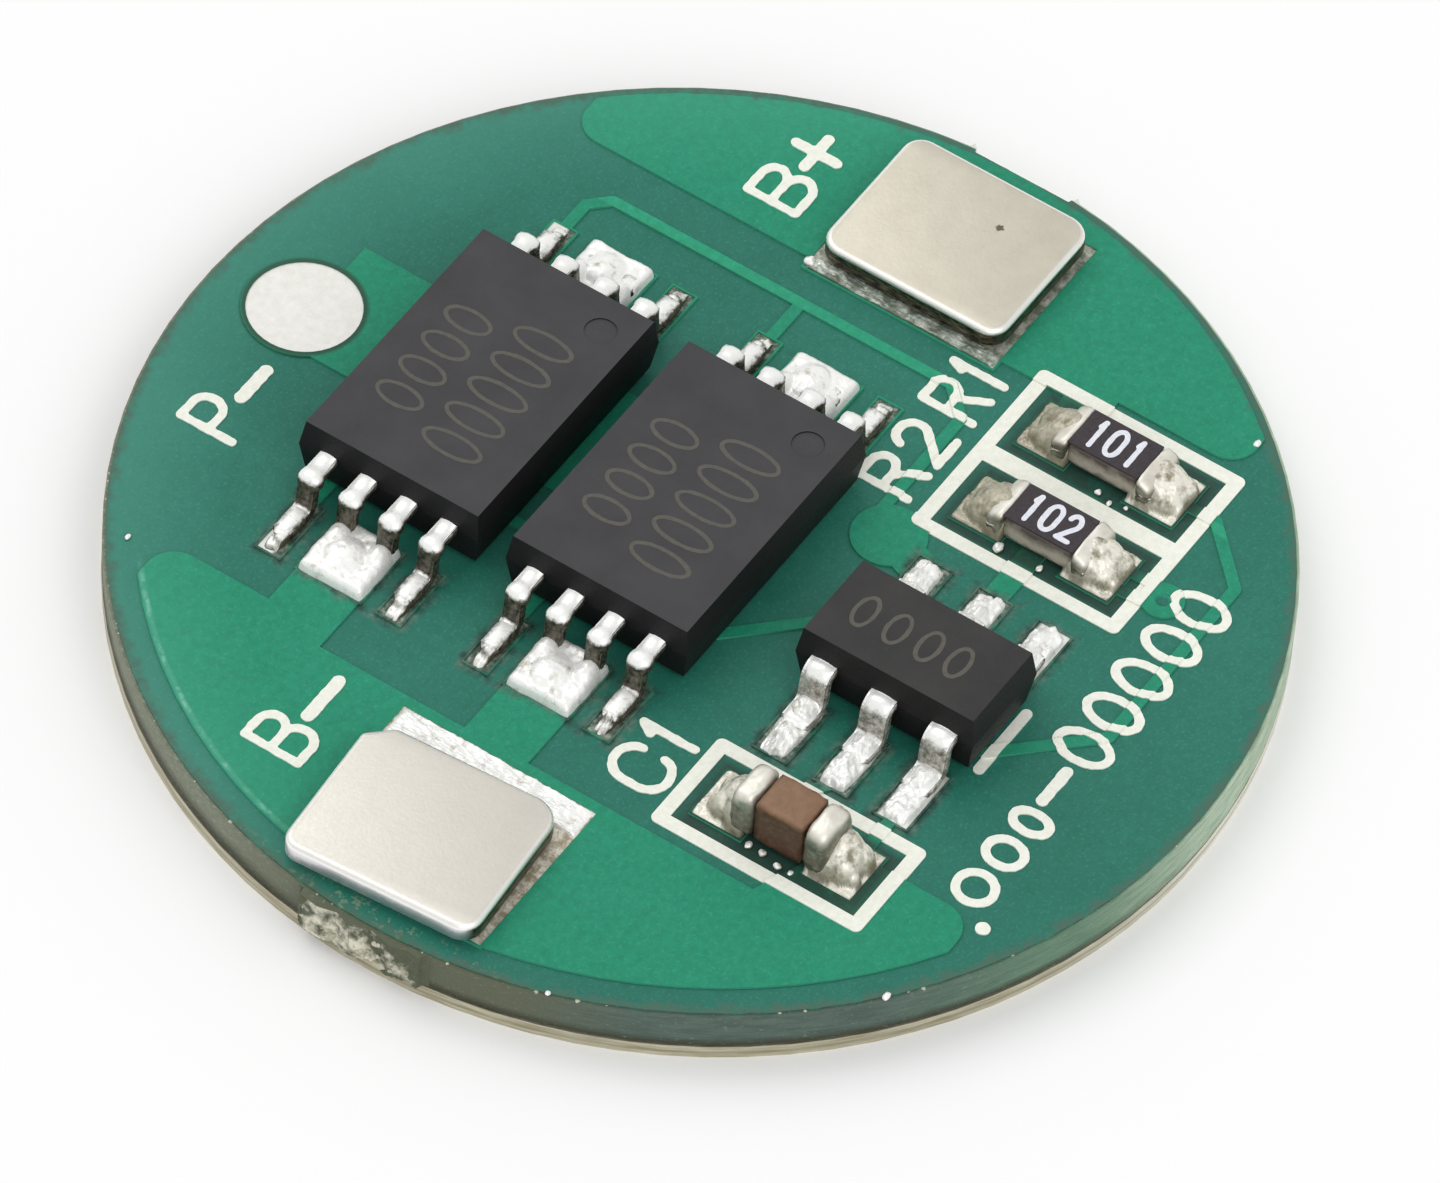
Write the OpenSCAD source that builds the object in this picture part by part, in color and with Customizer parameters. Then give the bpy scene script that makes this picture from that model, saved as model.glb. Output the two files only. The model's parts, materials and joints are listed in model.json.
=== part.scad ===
// Round battery management board for one cylindrical cell, in millimetres.
// The terminal marks read along +X and stand up along +Y. +Z is up, away from the cell's far end.
// The origin is the centre of the underside, where the metal contact touches what it rests on.

/* [Board] */
// Diameter of the round laminate
board_d = 16; // [15.8:0.1:18]
// Thickness of the laminate
laminate_t = 0.6; // [0.4:0.05:1.6]
// Thickness of the copper foil
copper_t = 0.035; // [0.018:0.001:0.07]
// Thickness of the solder mask, on laminate and on copper alike
mask_t = 0.03; // [0.015:0.005:0.05]
// How far the mask runs over the edge of a track before it drops to the laminate
mask_skirt = 0.03; // [0.01:0.005:0.05]
// How far the mask stops short of the rim
mask_rim = 0.04; // [0:0.01:0.1]
// Thickness of the tin on the bare copper lands
tin_t = 0.01; // [0.005:0.001:0.014]

/* [Underside contact] */
// Thickness of the metal contact under the laminate
contact_t = 0.22; // [0.1:0.01:0.5]
// How far the contact's edge stands in from the rim
contact_rim = 0; // [0:0.01:0.3]
// Thickness of the joint between the contact and the laminate
joint_t = 0.05; // [0.02:0.01:0.1]
// How far the joint stands in from the rim
joint_rim = 0.2; // [0.1:0.05:1]

/* [Panel bridges] */
// Width of the bridges that held the board in its panel
bridge_w = 1.68; // [1:0.02:3]
// How far the snapped bridge stands out at the negative side
bridge_stub = 0.1; // [0.05:0.01:0.4]
// Depth of the break at the positive side
bridge_nick = 0.13; // [0.02:0.01:0.15]
// Size of the splinters beside that break
splinter = 0.11; // [0.05:0.01:0.3]

/* [Copper] */
// Width of the thin tracks
track_w = 0.11; // [0.08:0.01:0.3]
// How far the positive pour stands in from the rim
positive_rim = 0.19; // [0.15:0.01:0.5]
// How far the negative pour stands in from the rim
negative_rim = 0.46; // [0.3:0.01:0.8]
// Radius of the pours' rounded corners
pour_r = 0.4; // [0.2:0.01:0.5]
// Outer diameter of the plated hole's ring
via_d = 0.54; // [0.45:0.01:0.7]
// Gap from the plated hole's middle to the middle of the row of chips
via_drop = 1.84; // [1.7:0.01:1.95]
// Diameter of the plated hole
via_hole_d = 0.22; // [0.15:0.01:0.3]

/* [Tabs] */
// Length of a cell tab along the rim's tangent
tab_l = 2.93; // [2.5:0.01:3.3]
// Width of a cell tab towards the rim
tab_w = 2.45; // [2:0.01:3]
// Thickness of a cell tab
tab_t = 0.3; // [0.1:0.05:0.5]
// Corner radius of a cell tab
tab_r = 0.31; // [0.1:0.01:0.5]
// Height of the worn edge round a tab's top
tab_edge = 0.07; // [0.02:0.01:0.09]
// Thickness of the solder that a tab sits on
tab_solder_t = 0.12; // [0.04:0.01:0.2]
// How far that solder stands in from the tab's edge
tab_solder_in = 0.12; // [0:0.01:0.3]
// How far the positive land shows beyond its tab towards the middle of the board
positive_land_in = 0.18; // [0.05:0.01:0.3]
// How far the negative land shows beyond its tab towards the middle of the board
negative_land_in = 0.54; // [0.1:0.01:0.6]
// How far a land shows beyond its tab at the ends
tab_land_end = 0.07; // [0.05:0.01:0.3]
// Gap from the positive tab to the rim, measured along X
positive_tab_rim = 0.62; // [0.6:0.01:1]
// Gap from the negative tab to the rim, measured along X
negative_tab_rim = 0.3; // [0.3:0.01:1]
// How far the negative tab sits off the board's middle line
negative_tab_y = 0.09; // [0:0.01:0.1]
// How far the negative tab is turned from square, in degrees
negative_tab_turn = 4; // [0:0.5:5]
// Legs of the cut across the negative tab's inner corner
negative_tab_cut = 0.36; // [0.3:0.01:0.6]

/* [Output land] */
// Diameter of the round output land
output_d = 1.6; // [1.2:0.02:2]
// Place of the output land along X
output_x = 0.16; // [-0.5:0.01:1]
// Gap from the output land to the rim
output_rim = 0.62; // [0.4:0.01:1]

/* [Switching transistors] */
// Length of a transistor package along its row of leads
mosfet_l = 2.9; // [2.8:0.05:3.1]
// Width of a transistor package, from lead row to lead row
mosfet_w = 4.3; // [4.2:0.05:4.5]
// Thickness of the moulding
mosfet_t = 0.95; // [0.8:0.05:1.1]
// Overall width over the leads' tips
mosfet_span = 6.4; // [6.2:0.05:6.6]
// Distance between neighbouring leads
mosfet_pitch = 0.65; // [0.6:0.01:0.7]
// Width of a lead
mosfet_lead_w = 0.26; // [0.19:0.01:0.3]
// Thickness of a lead
mosfet_lead_t = 0.15; // [0.1:0.01:0.2]
// Height of the leads' middle plane where they leave the moulding, above the lands
mosfet_lead_z = 0.6; // [0.5:0.01:0.7]
// Length of a lead's foot
mosfet_foot = 0.5; // [0.4:0.01:0.6]
// Gap between the two transistor packages
mosfet_gap = 0.44; // [0.2:0.01:1]
// Place of the transistors along X
mosfet_x = -0.1; // [-0.3:0.01:0.1]
// Place of the middle of the pair along Y
mosfet_pair_y = 1.89; // [1.8:0.01:2]

/* [Controller] */
// Length of the controller package along its row of leads
controller_l = 2.8; // [2.7:0.05:3]
// Width of the controller package
controller_w = 1.55; // [1.5:0.01:1.7]
// Thickness of the moulding
controller_t = 1; // [0.9:0.05:1.15]
// Overall width over the leads' tips
controller_span = 2.83; // [2.7:0.01:3]
// Distance between neighbouring leads
controller_pitch = 0.95; // [0.9:0.01:1]
// Width of a lead
controller_lead_w = 0.4; // [0.3:0.01:0.5]
// Thickness of a lead
controller_lead_t = 0.15; // [0.1:0.01:0.2]
// Height of the leads' middle plane where they leave the moulding, above the lands
controller_lead_z = 0.64; // [0.5:0.01:0.75]
// Length of a lead's foot
controller_foot = 0.36; // [0.3:0.01:0.4]
// Place of the controller along X
controller_x = -0.54; // [-0.7:0.01:-0.4]
// Gap along Y between the lower transistor and the controller
row_gap = 1.1; // [0.9:0.01:1.3]

/* [Moulded packages] */
// Draft of the moulded faces, in degrees
draft = 8; // [3:0.5:12]
// Gap under a moulding
standoff = 0.09; // [0.04:0.01:0.15]
// Diameter of the pin mark moulded into a package's top
pin_mark_d = 0.46; // [0.2:0.01:0.6]
// Depth of that mark
pin_mark_depth = 0.02; // [0.01:0.01:0.08]
// Inner radius of the bends in the leads
bend_r = 0.09; // [0.05:0.01:0.15]
// Lean of the leads' legs from upright, in degrees
leg_lean = 6; // [0:1:15]
// Thickness of the silicon dies
die_t = 0.18; // [0.1:0.01:0.2]

/* [Chip resistors and capacitor] */
// Length of a chip resistor
resistor_l = 1.6; // [1.5:0.02:1.7]
// Width of a chip resistor
resistor_w = 0.8; // [0.7:0.01:0.84]
// Height of a chip resistor
resistor_t = 0.45; // [0.35:0.01:0.6]
// Length of a resistor's metal ends
resistor_end = 0.25; // [0.2:0.01:0.4]
// Length of the chip capacitor
capacitor_l = 1.52; // [1.4:0.02:1.7]
// Width of the chip capacitor
capacitor_w = 0.74; // [0.68:0.01:0.84]
// Height of the chip capacitor
capacitor_t = 0.85; // [0.6:0.01:0.95]
// Length of the capacitor's metal ends
capacitor_end = 0.37; // [0.2:0.01:0.45]
// How far the chips sit off the middle of their lands along Y
chip_drift = 0.05; // [0:0.01:0.1]
// How far the capacitor sits off the middle of its lands along X
capacitor_drift = 0.06; // [0:0.01:0.1]
// Thickness of a chip's metal ends
terminal_t = 0.04; // [0.02:0.01:0.05]
// Thickness of a resistor's black overcoat
overcoat_t = 0.03; // [0.01:0.01:0.04]
// Thickness of the solder under a chip
chip_solder_t = 0.03; // [0.02:0.01:0.06]
// Height that the solder climbs up a chip's ends
chip_fillet_h = 0.4; // [0.2:0.01:0.44]
// Distance over the outer ends of a chip's two lands
chip_lands = 2.5; // [2.4:0.02:2.8]
// Gap between a chip's two lands
chip_land_gap = 0.96; // [0.8:0.02:1.1]
// Width of a chip's lands
chip_land_w = 0.88; // [0.8:0.02:1]
// Place of the middle of the two resistors along X
resistors_x = 3.5; // [3.4:0.01:3.6]
// Place of the capacitor along X
capacitor_x = -3.52; // [-3.6:0.01:-3.45]

/* [Legend] */
// Width of the frames' lines
line_w = 0.21; // [0.1:0.01:0.26]
// Width of the line between the two resistors
divider_w = 0.31; // [0.2:0.01:0.5]
// Width of a frame's opening
cell_w = 1.28; // [1.2:0.01:1.3]
// Length of a frame's opening
cell_l = 2.88; // [2.8:0.01:3]
// Thickness of the ink
ink_t = 0.02; // [0.01:0.005:0.03]
// Width of the bar beside the controller
bar_w = 0.16; // [0.1:0.01:0.2]
// Length of the bar beside the controller
bar_l = 1.15; // [0.6:0.05:1.5]

/* [Hidden] */
$fn = 96;

board_r = board_d / 2;
// Heights of the stack, from the underside up
z_joint = contact_t;
z_laminate = z_joint + joint_t;
z_copper = z_laminate + laminate_t;
z_tin = z_copper + copper_t;
z_seat = z_tin + tin_t;
mask_over_copper = copper_t + mask_t;
z_legend = z_copper + mask_t;

// How far a splinter at the break runs back into the laminate
splinter_root = 0.02;

// Width, length and height of the chips
resistor_size = [resistor_w, resistor_l, resistor_t];
capacitor_size = [capacitor_w, capacitor_l, capacitor_t];

// Places of the parts
positive_tab_x = board_r - positive_tab_rim - tab_w / 2;
negative_tab_x = -board_r + negative_tab_rim + tab_w / 2;
output_y = board_r - output_rim - output_d / 2;
mosfet_a_y = mosfet_pair_y + (mosfet_l + mosfet_gap) / 2;
mosfet_b_y = mosfet_pair_y - (mosfet_l + mosfet_gap) / 2;
row_y = mosfet_b_y - mosfet_l / 2 - row_gap - controller_l / 2;
cell_pitch = cell_w + divider_w;
r1_x = resistors_x + cell_pitch / 2;
r2_x = resistors_x - cell_pitch / 2;

// Lands: how far they run past a foot's toe, its heel and its sides
mosfet_toe = 0.32;
mosfet_heel = 0.2;
controller_toe = 0.58;
controller_heel = 0.12;
land_side = 0.05;

// Lands of the transistors: a narrow one for each outer lead, a wide one for each middle pair
mosfet_land_out = mosfet_span / 2 + mosfet_toe;
mosfet_land_in = mosfet_span / 2 - mosfet_foot - mosfet_heel;
mosfet_land_w = mosfet_lead_w + 2 * land_side;
mosfet_pair_land_w = mosfet_pitch + mosfet_lead_w + 2 * land_side;
mosfet_outer_y = 1.5 * mosfet_pitch;
// Lands of the controller
controller_land_out = controller_span / 2 + controller_toe;
controller_land_in = controller_span / 2 - controller_foot - controller_heel;
controller_land_w = controller_lead_w + 2 * land_side;
// Lands of the chips
chip_land_l = (chip_lands - chip_land_gap) / 2;
chip_land_y = (chip_lands + chip_land_gap) / 4;

// Positive pour: its top edge, its step above the chips, and its tail's end and gap at the resistors
positive_under_tab = 0.03;
positive_pour_x = positive_tab_x - tab_w / 2 + positive_under_tab;
positive_top = 5.46;
positive_step = 0.53;
positive_tail = 1.42;
positive_tail_gap = 0.14;
positive_link_w = 0.6;
positive_link_in = 0.06;
positive_land_rim = 0.02;
// Negative pour: its two inner edges, its top edge, and the end and side of its tail below the capacitor.
// Its lower inner edge follows the tab's land, or keeps clear of the capacitor's upper land.
negative_past_land = 0.13;
supply_clear = 0.2;
negative_pour_x = min(negative_tab_x + tab_w / 2 + negative_land_in + negative_past_land,
    capacitor_x - chip_land_w / 2 - supply_clear);
negative_land_rim = 0.28;
negative_corner = 0.27;
negative_top = 5.69;
negative_tail = 2.73;
negative_tail_in = 0.24;
negative_step = 0.34;
negative_link_w = 0.58;
// How much narrower than the lands the branches to the middle leads are, at each side
branch_in = 0.03;
// Output pour: how far it reaches to both sides of its land's middle, and the ring round the land
output_left = 0.64;
output_right = 1.31;
output_ring = 0.04;
output_top_in = 0.1;
// Left gate track: where it runs down, and how far inside the lower transistor's edge it turns
left_run_x = -1.25;
left_turn_in = 0.14;
left_under = 0.29;
// Right gate track: it runs down half way between the transistors' lands and the positive pour.
// Then its corner, its low run with a longer corner, and the round patch and neck at the controller.
right_run_x = (mosfet_x + mosfet_land_out + positive_pour_x) / 2;
right_bend = 0.27;
right_low_bend = 0.43;
right_low = 2.06;
right_patch_x = 2.04;
right_patch_y = 1.73;
right_patch_d = 1;
right_neck_w = 0.5;
// Sense track
sense_w = 0.29;
sense_in = 0.2;
// Supply track: its low run, its two bends below the first resistor and its corner near the middle
supply_low = 2.52;
supply_bend_y = 1.68;
supply_bend_x = 0.84;
supply_corner_x = 0.34;
supply_in = 0.3;
supply_rise = 0.58;
supply_side = 0.34;
// Two short tracks from the second resistor to the plated hole
via_drift = 0.02;
via_at = [r2_x + via_drift, row_y - via_drop];
via_track_top = 0.19;
via_track_low = 0.16;

// Lead frame inside a transistor package: its paddle, the bar across the middle leads and the gap between
paddle_w = 2.7;
bond_bar = 0.25;
die_in = 0.25;
die_off = 0.37;
frame_gap = 0.18;
// Lead frame inside the controller
controller_paddle_w = 0.7;
controller_frame_gap = 0.12;
controller_die_size = [0.55, 1.1];
// Pin mark's place from the corner of the moulding
pin_mark_in = [0.62, 0.55];
// How far a lead runs into the paddle that it is part of
lead_in = 0.1;

// Solder: the film beside a foot and the mounds over the middle lands.
// At a chip: how far it stands in from the land, climbs the sides as a share of the ends,
// and climbs the capacitor against a resistor.
film_t = 0.05;
heel_in = 0.02;
heel_climb = 1.6;
mound_h = 0.3;
chip_solder_in = 0.02;
chip_side_climb = 0.45;
capacitor_climb = 1.3;
// Corners of the chips' ceramic, and how far a resistor's coat stands in from its sides
resistor_corner = 0.02;
capacitor_corner = 0.05;
overcoat_in = 0.04;

// ---------- flat shapes ----------

// A rectangle about a point, grown on every side
module box_at(at, size, grow = 0) {
    translate(at) square(size + [2 * grow, 2 * grow], center = true);
}

// A rectangle between two corners, grown on every side
module box_between(low, high, grow = 0) {
    box_at((low + high) / 2, high - low, grow);
}

// A round-ended stretch of track between two points
module stretch(from, to, width, grow = 0) {
    run = to - from;
    for (end = [from, to]) translate(end) circle(d = width + 2 * grow);
    translate(from) rotate(atan2(run.y, run.x))
        translate([0, -width / 2 - grow]) square([norm(run), width + 2 * grow]);
}

// A track through a row of points
module route(points, grow = 0) {
    for (i = [1:len(points) - 1]) stretch(points[i - 1], points[i], track_w, grow);
}

// A rectangle about the origin with four round corners
module rounded(size, radius) {
    square([size.x - 2 * radius, size.y], center = true);
    square([size.x, size.y - 2 * radius], center = true);
    for (x = [-1, 1], y = [-1, 1])
        translate([x * (size.x / 2 - radius), y * (size.y / 2 - radius)]) circle(r = radius);
}

// A hollow slope from the given height at x = 0 down to nothing at its far end.
// It ends flat where it is longer than high, and starts upright where it is higher than long.
module hollow_slope(length, height) {
    radius = (length * length + height * height) / (2 * min(length, height));
    centre = length >= height ? [length, radius] : [radius, height];
    difference() {
        square([length, height]);
        translate(centre) circle(r = radius);
    }
}

// ---------- outline of the board ----------

module board_outline() {
    difference() {
        circle(r = board_r, $fn = 240);
        translate([board_r - bridge_nick, -bridge_w / 2]) square([1, bridge_w]);
    }
    for (side = [-1, 1])
        translate([board_r - bridge_nick - splinter_root, side * bridge_w / 2]) scale(splinter)
            polygon([[0, -0.5], [1, -0.25], [1.6, 0.33], [0, 1]]);
}

// The snapped bridge: a ragged end, wider at its root.
// Its points are given as shares of the stub's length and of half the bridge's width.
module bridge_stub_outline() {
    ragged = [
        [-1, 1.14], [0.5, 1.1], [1, 0.75], [0.3, 0.42], [1.2, 0.12],
        [0, -0.2], [0.8, -0.6], [0.1, -0.9], [0.4, -1.12], [-1, -1.17]
    ];
    polygon([for (point = ragged) [-board_r - point.x * bridge_stub, point.y * bridge_w / 2]]);
}

// ---------- copper, one module for each separate piece of foil ----------

// Lands under the cell tabs: they end short of the tabs at the rim and show beyond them at the other sides
module positive_land(grow = 0) {
    half = tab_l / 2 + tab_land_end;
    box_between([positive_tab_x - tab_w / 2 - positive_land_in, -half],
        [positive_tab_x + tab_w / 2 - positive_land_rim, half], grow);
}

module negative_land(grow = 0) {
    half = tab_l / 2 + tab_land_end;
    box_between([negative_tab_x - tab_w / 2 + negative_land_rim, negative_tab_y / 2 - half],
        [negative_tab_x + tab_w / 2 + negative_land_in, negative_tab_y / 2 + half], grow);
}

module mosfet_lands(y, side, row, grow = 0) {
    middle = (mosfet_land_out + mosfet_land_in) / 2;
    length = mosfet_land_out - mosfet_land_in;
    width = row == 0 ? mosfet_pair_land_w : mosfet_land_w;
    box_at([mosfet_x + side * middle, y + row * mosfet_outer_y], [length, width], grow);
}

module controller_land(side, row, grow = 0) {
    middle = (controller_land_out + controller_land_in) / 2;
    length = controller_land_out - controller_land_in;
    box_at([controller_x + side * middle, row_y + row * controller_pitch],
        [length, controller_land_w], grow);
}

module chip_land(x, end, grow = 0) {
    box_at([x, row_y + end * chip_land_y], [chip_land_w, chip_land_l], grow);
}

module output_land(grow = 0) {
    translate([output_x, output_y]) circle(d = output_d + 2 * grow);
}

module positive_pour_outline(grow = 0) {
    x = positive_pour_x;
    step_y = row_y + positive_step;
    tail_x = r1_x + cell_w / 2 + line_w + positive_tail_gap;
    tail_y = row_y - positive_tail;
    intersection() {
        circle(r = board_r - positive_rim + grow, $fn = 240);
        union() {
            box_between([x, step_y], [board_r, positive_top - pour_r], grow);
            box_between([x + pour_r, step_y], [board_r, positive_top], grow);
            translate([x + pour_r, positive_top - pour_r]) circle(r = pour_r + grow);
            box_between([tail_x, tail_y + pour_r], [board_r, step_y], grow);
            box_between([tail_x + pour_r, tail_y], [board_r, step_y], grow);
            translate([tail_x + pour_r, tail_y + pour_r]) circle(r = pour_r + grow);
            box_between([r1_x, step_y + positive_link_in], [x + pour_r, step_y + positive_link_w], grow);
        }
    }
    positive_land(grow);
    chip_land(r1_x, 1, grow);
}

module negative_pour_outline(grow = 0) {
    x = negative_pour_x;
    corner_x = x + negative_corner;
    step_y = row_y - negative_step;
    tail_x = capacitor_x + negative_tail_in;
    tail_y = row_y - negative_tail;
    tail_top = row_y - chip_land_y + chip_land_l / 4;
    half = mosfet_pair_land_w / 2 - branch_in;
    intersection() {
        circle(r = board_r - negative_rim + grow, $fn = 240);
        union() {
            box_between([-board_r, tail_top], [x, negative_top - pour_r], grow);
            box_between([-board_r, mosfet_a_y], [corner_x, negative_top - pour_r], grow);
            box_between([-board_r, mosfet_a_y], [corner_x - pour_r, negative_top], grow);
            translate([corner_x - pour_r, negative_top - pour_r]) circle(r = pour_r + grow);
            box_between([-board_r, tail_y + pour_r], [tail_x, tail_top], grow);
            box_between([-board_r, tail_y], [tail_x - pour_r, tail_top], grow);
            translate([tail_x - pour_r, tail_y + pour_r]) circle(r = pour_r + grow);
            for (y = [mosfet_a_y, mosfet_b_y])
                box_between([-board_r, y - half], [mosfet_x - mosfet_land_in, y + half], grow);
            stretch([x - negative_link_w / 2, step_y], [capacitor_x, row_y - chip_land_y],
                negative_link_w, grow);
            route([[capacitor_x, row_y - controller_pitch],
                [controller_x - controller_land_in, row_y - controller_pitch]], grow);
        }
    }
    negative_land(grow);
    chip_land(capacitor_x, -1, grow);
    controller_land(-1, -1, grow);
    for (y = [mosfet_a_y, mosfet_b_y]) mosfet_lands(y, -1, 0, grow);
}

module output_pour_outline(grow = 0) {
    left = output_x - output_left;
    half = mosfet_pair_land_w / 2 - branch_in;
    output_land(output_ring + grow);
    box_between([left, mosfet_b_y - half], [output_x + output_right, output_y - output_top_in], grow);
    for (y = [mosfet_a_y, mosfet_b_y]) {
        box_between([left, y - half], [mosfet_x + mosfet_land_in, y + half], grow);
        mosfet_lands(y, 1, 0, grow);
    }
}

module left_gate_outline(grow = 0) {
    turn_y = mosfet_b_y - mosfet_l / 2 + left_turn_in;
    under_x = controller_x + left_under;
    low_y = row_y - controller_pitch;
    for (y = [mosfet_a_y, mosfet_b_y]) {
        route([[mosfet_x - mosfet_land_in, y + mosfet_outer_y], [left_run_x, y + mosfet_outer_y]], grow);
        mosfet_lands(y, -1, 1, grow);
    }
    route([[left_run_x, mosfet_a_y + mosfet_outer_y], [left_run_x, turn_y],
        [under_x, turn_y - (under_x - left_run_x)], [under_x, low_y],
        [controller_x + controller_land_in, low_y]], grow);
    controller_land(1, -1, grow);
}

module right_gate_outline(grow = 0) {
    low_y = row_y + right_low;
    patch = [controller_x + right_patch_x, row_y + right_patch_y];
    neck = [controller_x + controller_land_out - right_neck_w / 2, row_y + controller_pitch];
    start = mosfet_x + mosfet_land_out - land_side;
    a_y = mosfet_a_y + mosfet_outer_y;
    b_y = mosfet_b_y + mosfet_outer_y;
    for (y = [mosfet_a_y, mosfet_b_y]) mosfet_lands(y, 1, 1, grow);
    controller_land(1, 1, grow);
    route([[start, a_y], [right_run_x - right_bend, a_y], [right_run_x, a_y - right_bend],
        [right_run_x, low_y + right_low_bend], [right_run_x - right_low_bend, low_y],
        [patch.x, low_y]], grow);
    route([[start, b_y], [right_run_x, b_y]], grow);
    translate(patch) circle(d = right_patch_d + 2 * grow);
    stretch(patch, neck, right_neck_w, grow);
}

module sense_outline(grow = 0) {
    bend_x = r2_x - sense_in;
    controller_land(1, 0, grow);
    stretch([controller_x + controller_land_out - sense_w / 2, row_y], [bend_x, row_y], sense_w, grow);
    route([[bend_x, row_y], [bend_x, row_y + chip_land_y]], grow);
    chip_land(r2_x, 1, grow);
}

module supply_outline(grow = 0) {
    low_y = row_y - supply_low;
    down_x = controller_x - supply_in;
    controller_land(-1, 0, grow);
    chip_land(capacitor_x, 1, grow);
    chip_land(r1_x, -1, grow);
    route([[r1_x, row_y - chip_land_y], [r1_x, row_y - supply_bend_y], [r1_x - supply_bend_x, low_y],
        [supply_corner_x, low_y], [down_x, low_y + supply_corner_x - down_x], [down_x, row_y],
        [controller_x - controller_land_in, row_y]], grow);
    route([[controller_x - controller_land_out + land_side, row_y],
        [capacitor_x + supply_side, row_y + supply_rise], [capacitor_x, row_y + chip_land_y]], grow);
}

module output_via_outline(grow = 0) {
    chip_land(r2_x, -1, grow);
    translate(via_at) circle(d = via_d + 2 * grow);
    for (side = [-1, 1])
        route([[r2_x + side * via_track_top, row_y - chip_land_y],
            via_at + [side * via_track_low, 0]], grow);
}

module drain_lands_outline(grow = 0) {
    for (y = [mosfet_a_y, mosfet_b_y], side = [-1, 1]) mosfet_lands(y, side, -1, grow);
    controller_land(-1, 1, grow);
}

module copper_outline(grow = 0) {
    positive_pour_outline(grow);
    negative_pour_outline(grow);
    output_pour_outline(grow);
    left_gate_outline(grow);
    right_gate_outline(grow);
    sense_outline(grow);
    supply_outline(grow);
    output_via_outline(grow);
    drain_lands_outline(grow);
}

// Everything that the mask leaves bare
module bare_lands() {
    positive_land();
    negative_land();
    output_land();
    for (side = [-1, 1]) {
        for (y = [mosfet_a_y, mosfet_b_y], row = [-1, 0, 1]) mosfet_lands(y, side, row);
        for (row = [-1, 0, 1]) controller_land(side, row);
        for (x = [capacitor_x, r1_x, r2_x]) chip_land(x, side);
    }
}

module foil() {
    color("darkgoldenrod") translate([0, 0, z_copper]) linear_extrude(copper_t) children();
}

module positive_pour() { foil() positive_pour_outline(); }
module negative_pour() { foil() negative_pour_outline(); }
module output_pour() { foil() output_pour_outline(); }
module left_gate_track() { foil() left_gate_outline(); }
module right_gate_track() { foil() right_gate_outline(); }
module sense_track() { foil() sense_outline(); }
module supply_track() { foil() supply_outline(); }
module drain_lands() { foil() drain_lands_outline(); }

// The plated hole, down to the joint on the underside
module output_via() {
    color("darkgoldenrod") difference() {
        union() {
            translate([0, 0, z_copper]) linear_extrude(copper_t) output_via_outline();
            translate([via_at.x, via_at.y, z_laminate])
                cylinder(d = via_hole_d + 2 * copper_t, h = laminate_t + copper_t);
        }
        translate([via_at.x, via_at.y, z_laminate - 1]) cylinder(d = via_hole_d, h = laminate_t + 2);
    }
}

// ---------- the board ----------

module laminate() {
    color("darkkhaki") translate([0, 0, z_laminate]) difference() {
        linear_extrude(laminate_t) {
            board_outline();
            bridge_stub_outline();
        }
        translate([via_at.x, via_at.y, -1]) cylinder(d = via_hole_d + 2 * copper_t, h = laminate_t + 2);
    }
}

module bottom_contact() {
    color("silver") cylinder(r = board_r - contact_rim, h = contact_t, $fn = 240);
}

module contact_joint() {
    color("dimgray") translate([0, 0, z_joint]) cylinder(r = board_r - joint_rim, h = joint_t, $fn = 240);
}

module tin_finish() {
    color("gainsboro") translate([0, 0, z_tin]) linear_extrude(tin_t) bare_lands();
}

// Outline of the mask over the copper, skirts included
module mask_high_outline() {
    intersection() {
        mask_outline();
        copper_outline(mask_skirt);
    }
}

module mask_outline() {
    intersection() {
        board_outline();
        circle(r = board_r - mask_rim, $fn = 240);
    }
}

module solder_mask() {
    color("seagreen") translate([0, 0, z_copper]) difference() {
        union() {
            linear_extrude(mask_t) mask_outline();
            linear_extrude(mask_over_copper) mask_high_outline();
        }
        translate([0, 0, -1]) linear_extrude(1 + copper_t) copper_outline();
        translate([0, 0, -1]) linear_extrude(3) bare_lands();
        translate([via_at.x, via_at.y, -1]) cylinder(d = via_hole_d, h = 3);
    }
}

// Frames round the chips and the bar beside the controller, as flat outlines
module legend_outline() {
    frame_l = cell_l + 2 * line_w;
    corner = 0.1;
    bar_y = row_y - controller_l / 2 - 0.02;
    difference() {
        union() {
            translate([capacitor_x, row_y]) rounded([cell_w + 2 * line_w, frame_l], corner);
            translate([resistors_x, row_y]) rounded([cell_pitch + cell_w + 2 * line_w, frame_l], corner);
        }
        for (x = [capacitor_x, r1_x, r2_x]) box_at([x, row_y], [cell_w, cell_l]);
    }
    stretch([controller_x - bar_l / 2, bar_y], [controller_x + bar_l / 2, bar_y], bar_w);
}

// The ink follows the mask over the copper's edges
module legend_frames() {
    color("ivory") translate([0, 0, z_legend]) difference() {
        union() {
            linear_extrude(ink_t) legend_outline();
            linear_extrude(copper_t + ink_t) intersection() {
                legend_outline();
                copper_outline(mask_skirt + ink_t);
            }
        }
        translate([0, 0, -1]) linear_extrude(1 + copper_t) copper_outline(mask_skirt);
    }
}

// ---------- cell tabs ----------

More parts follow.
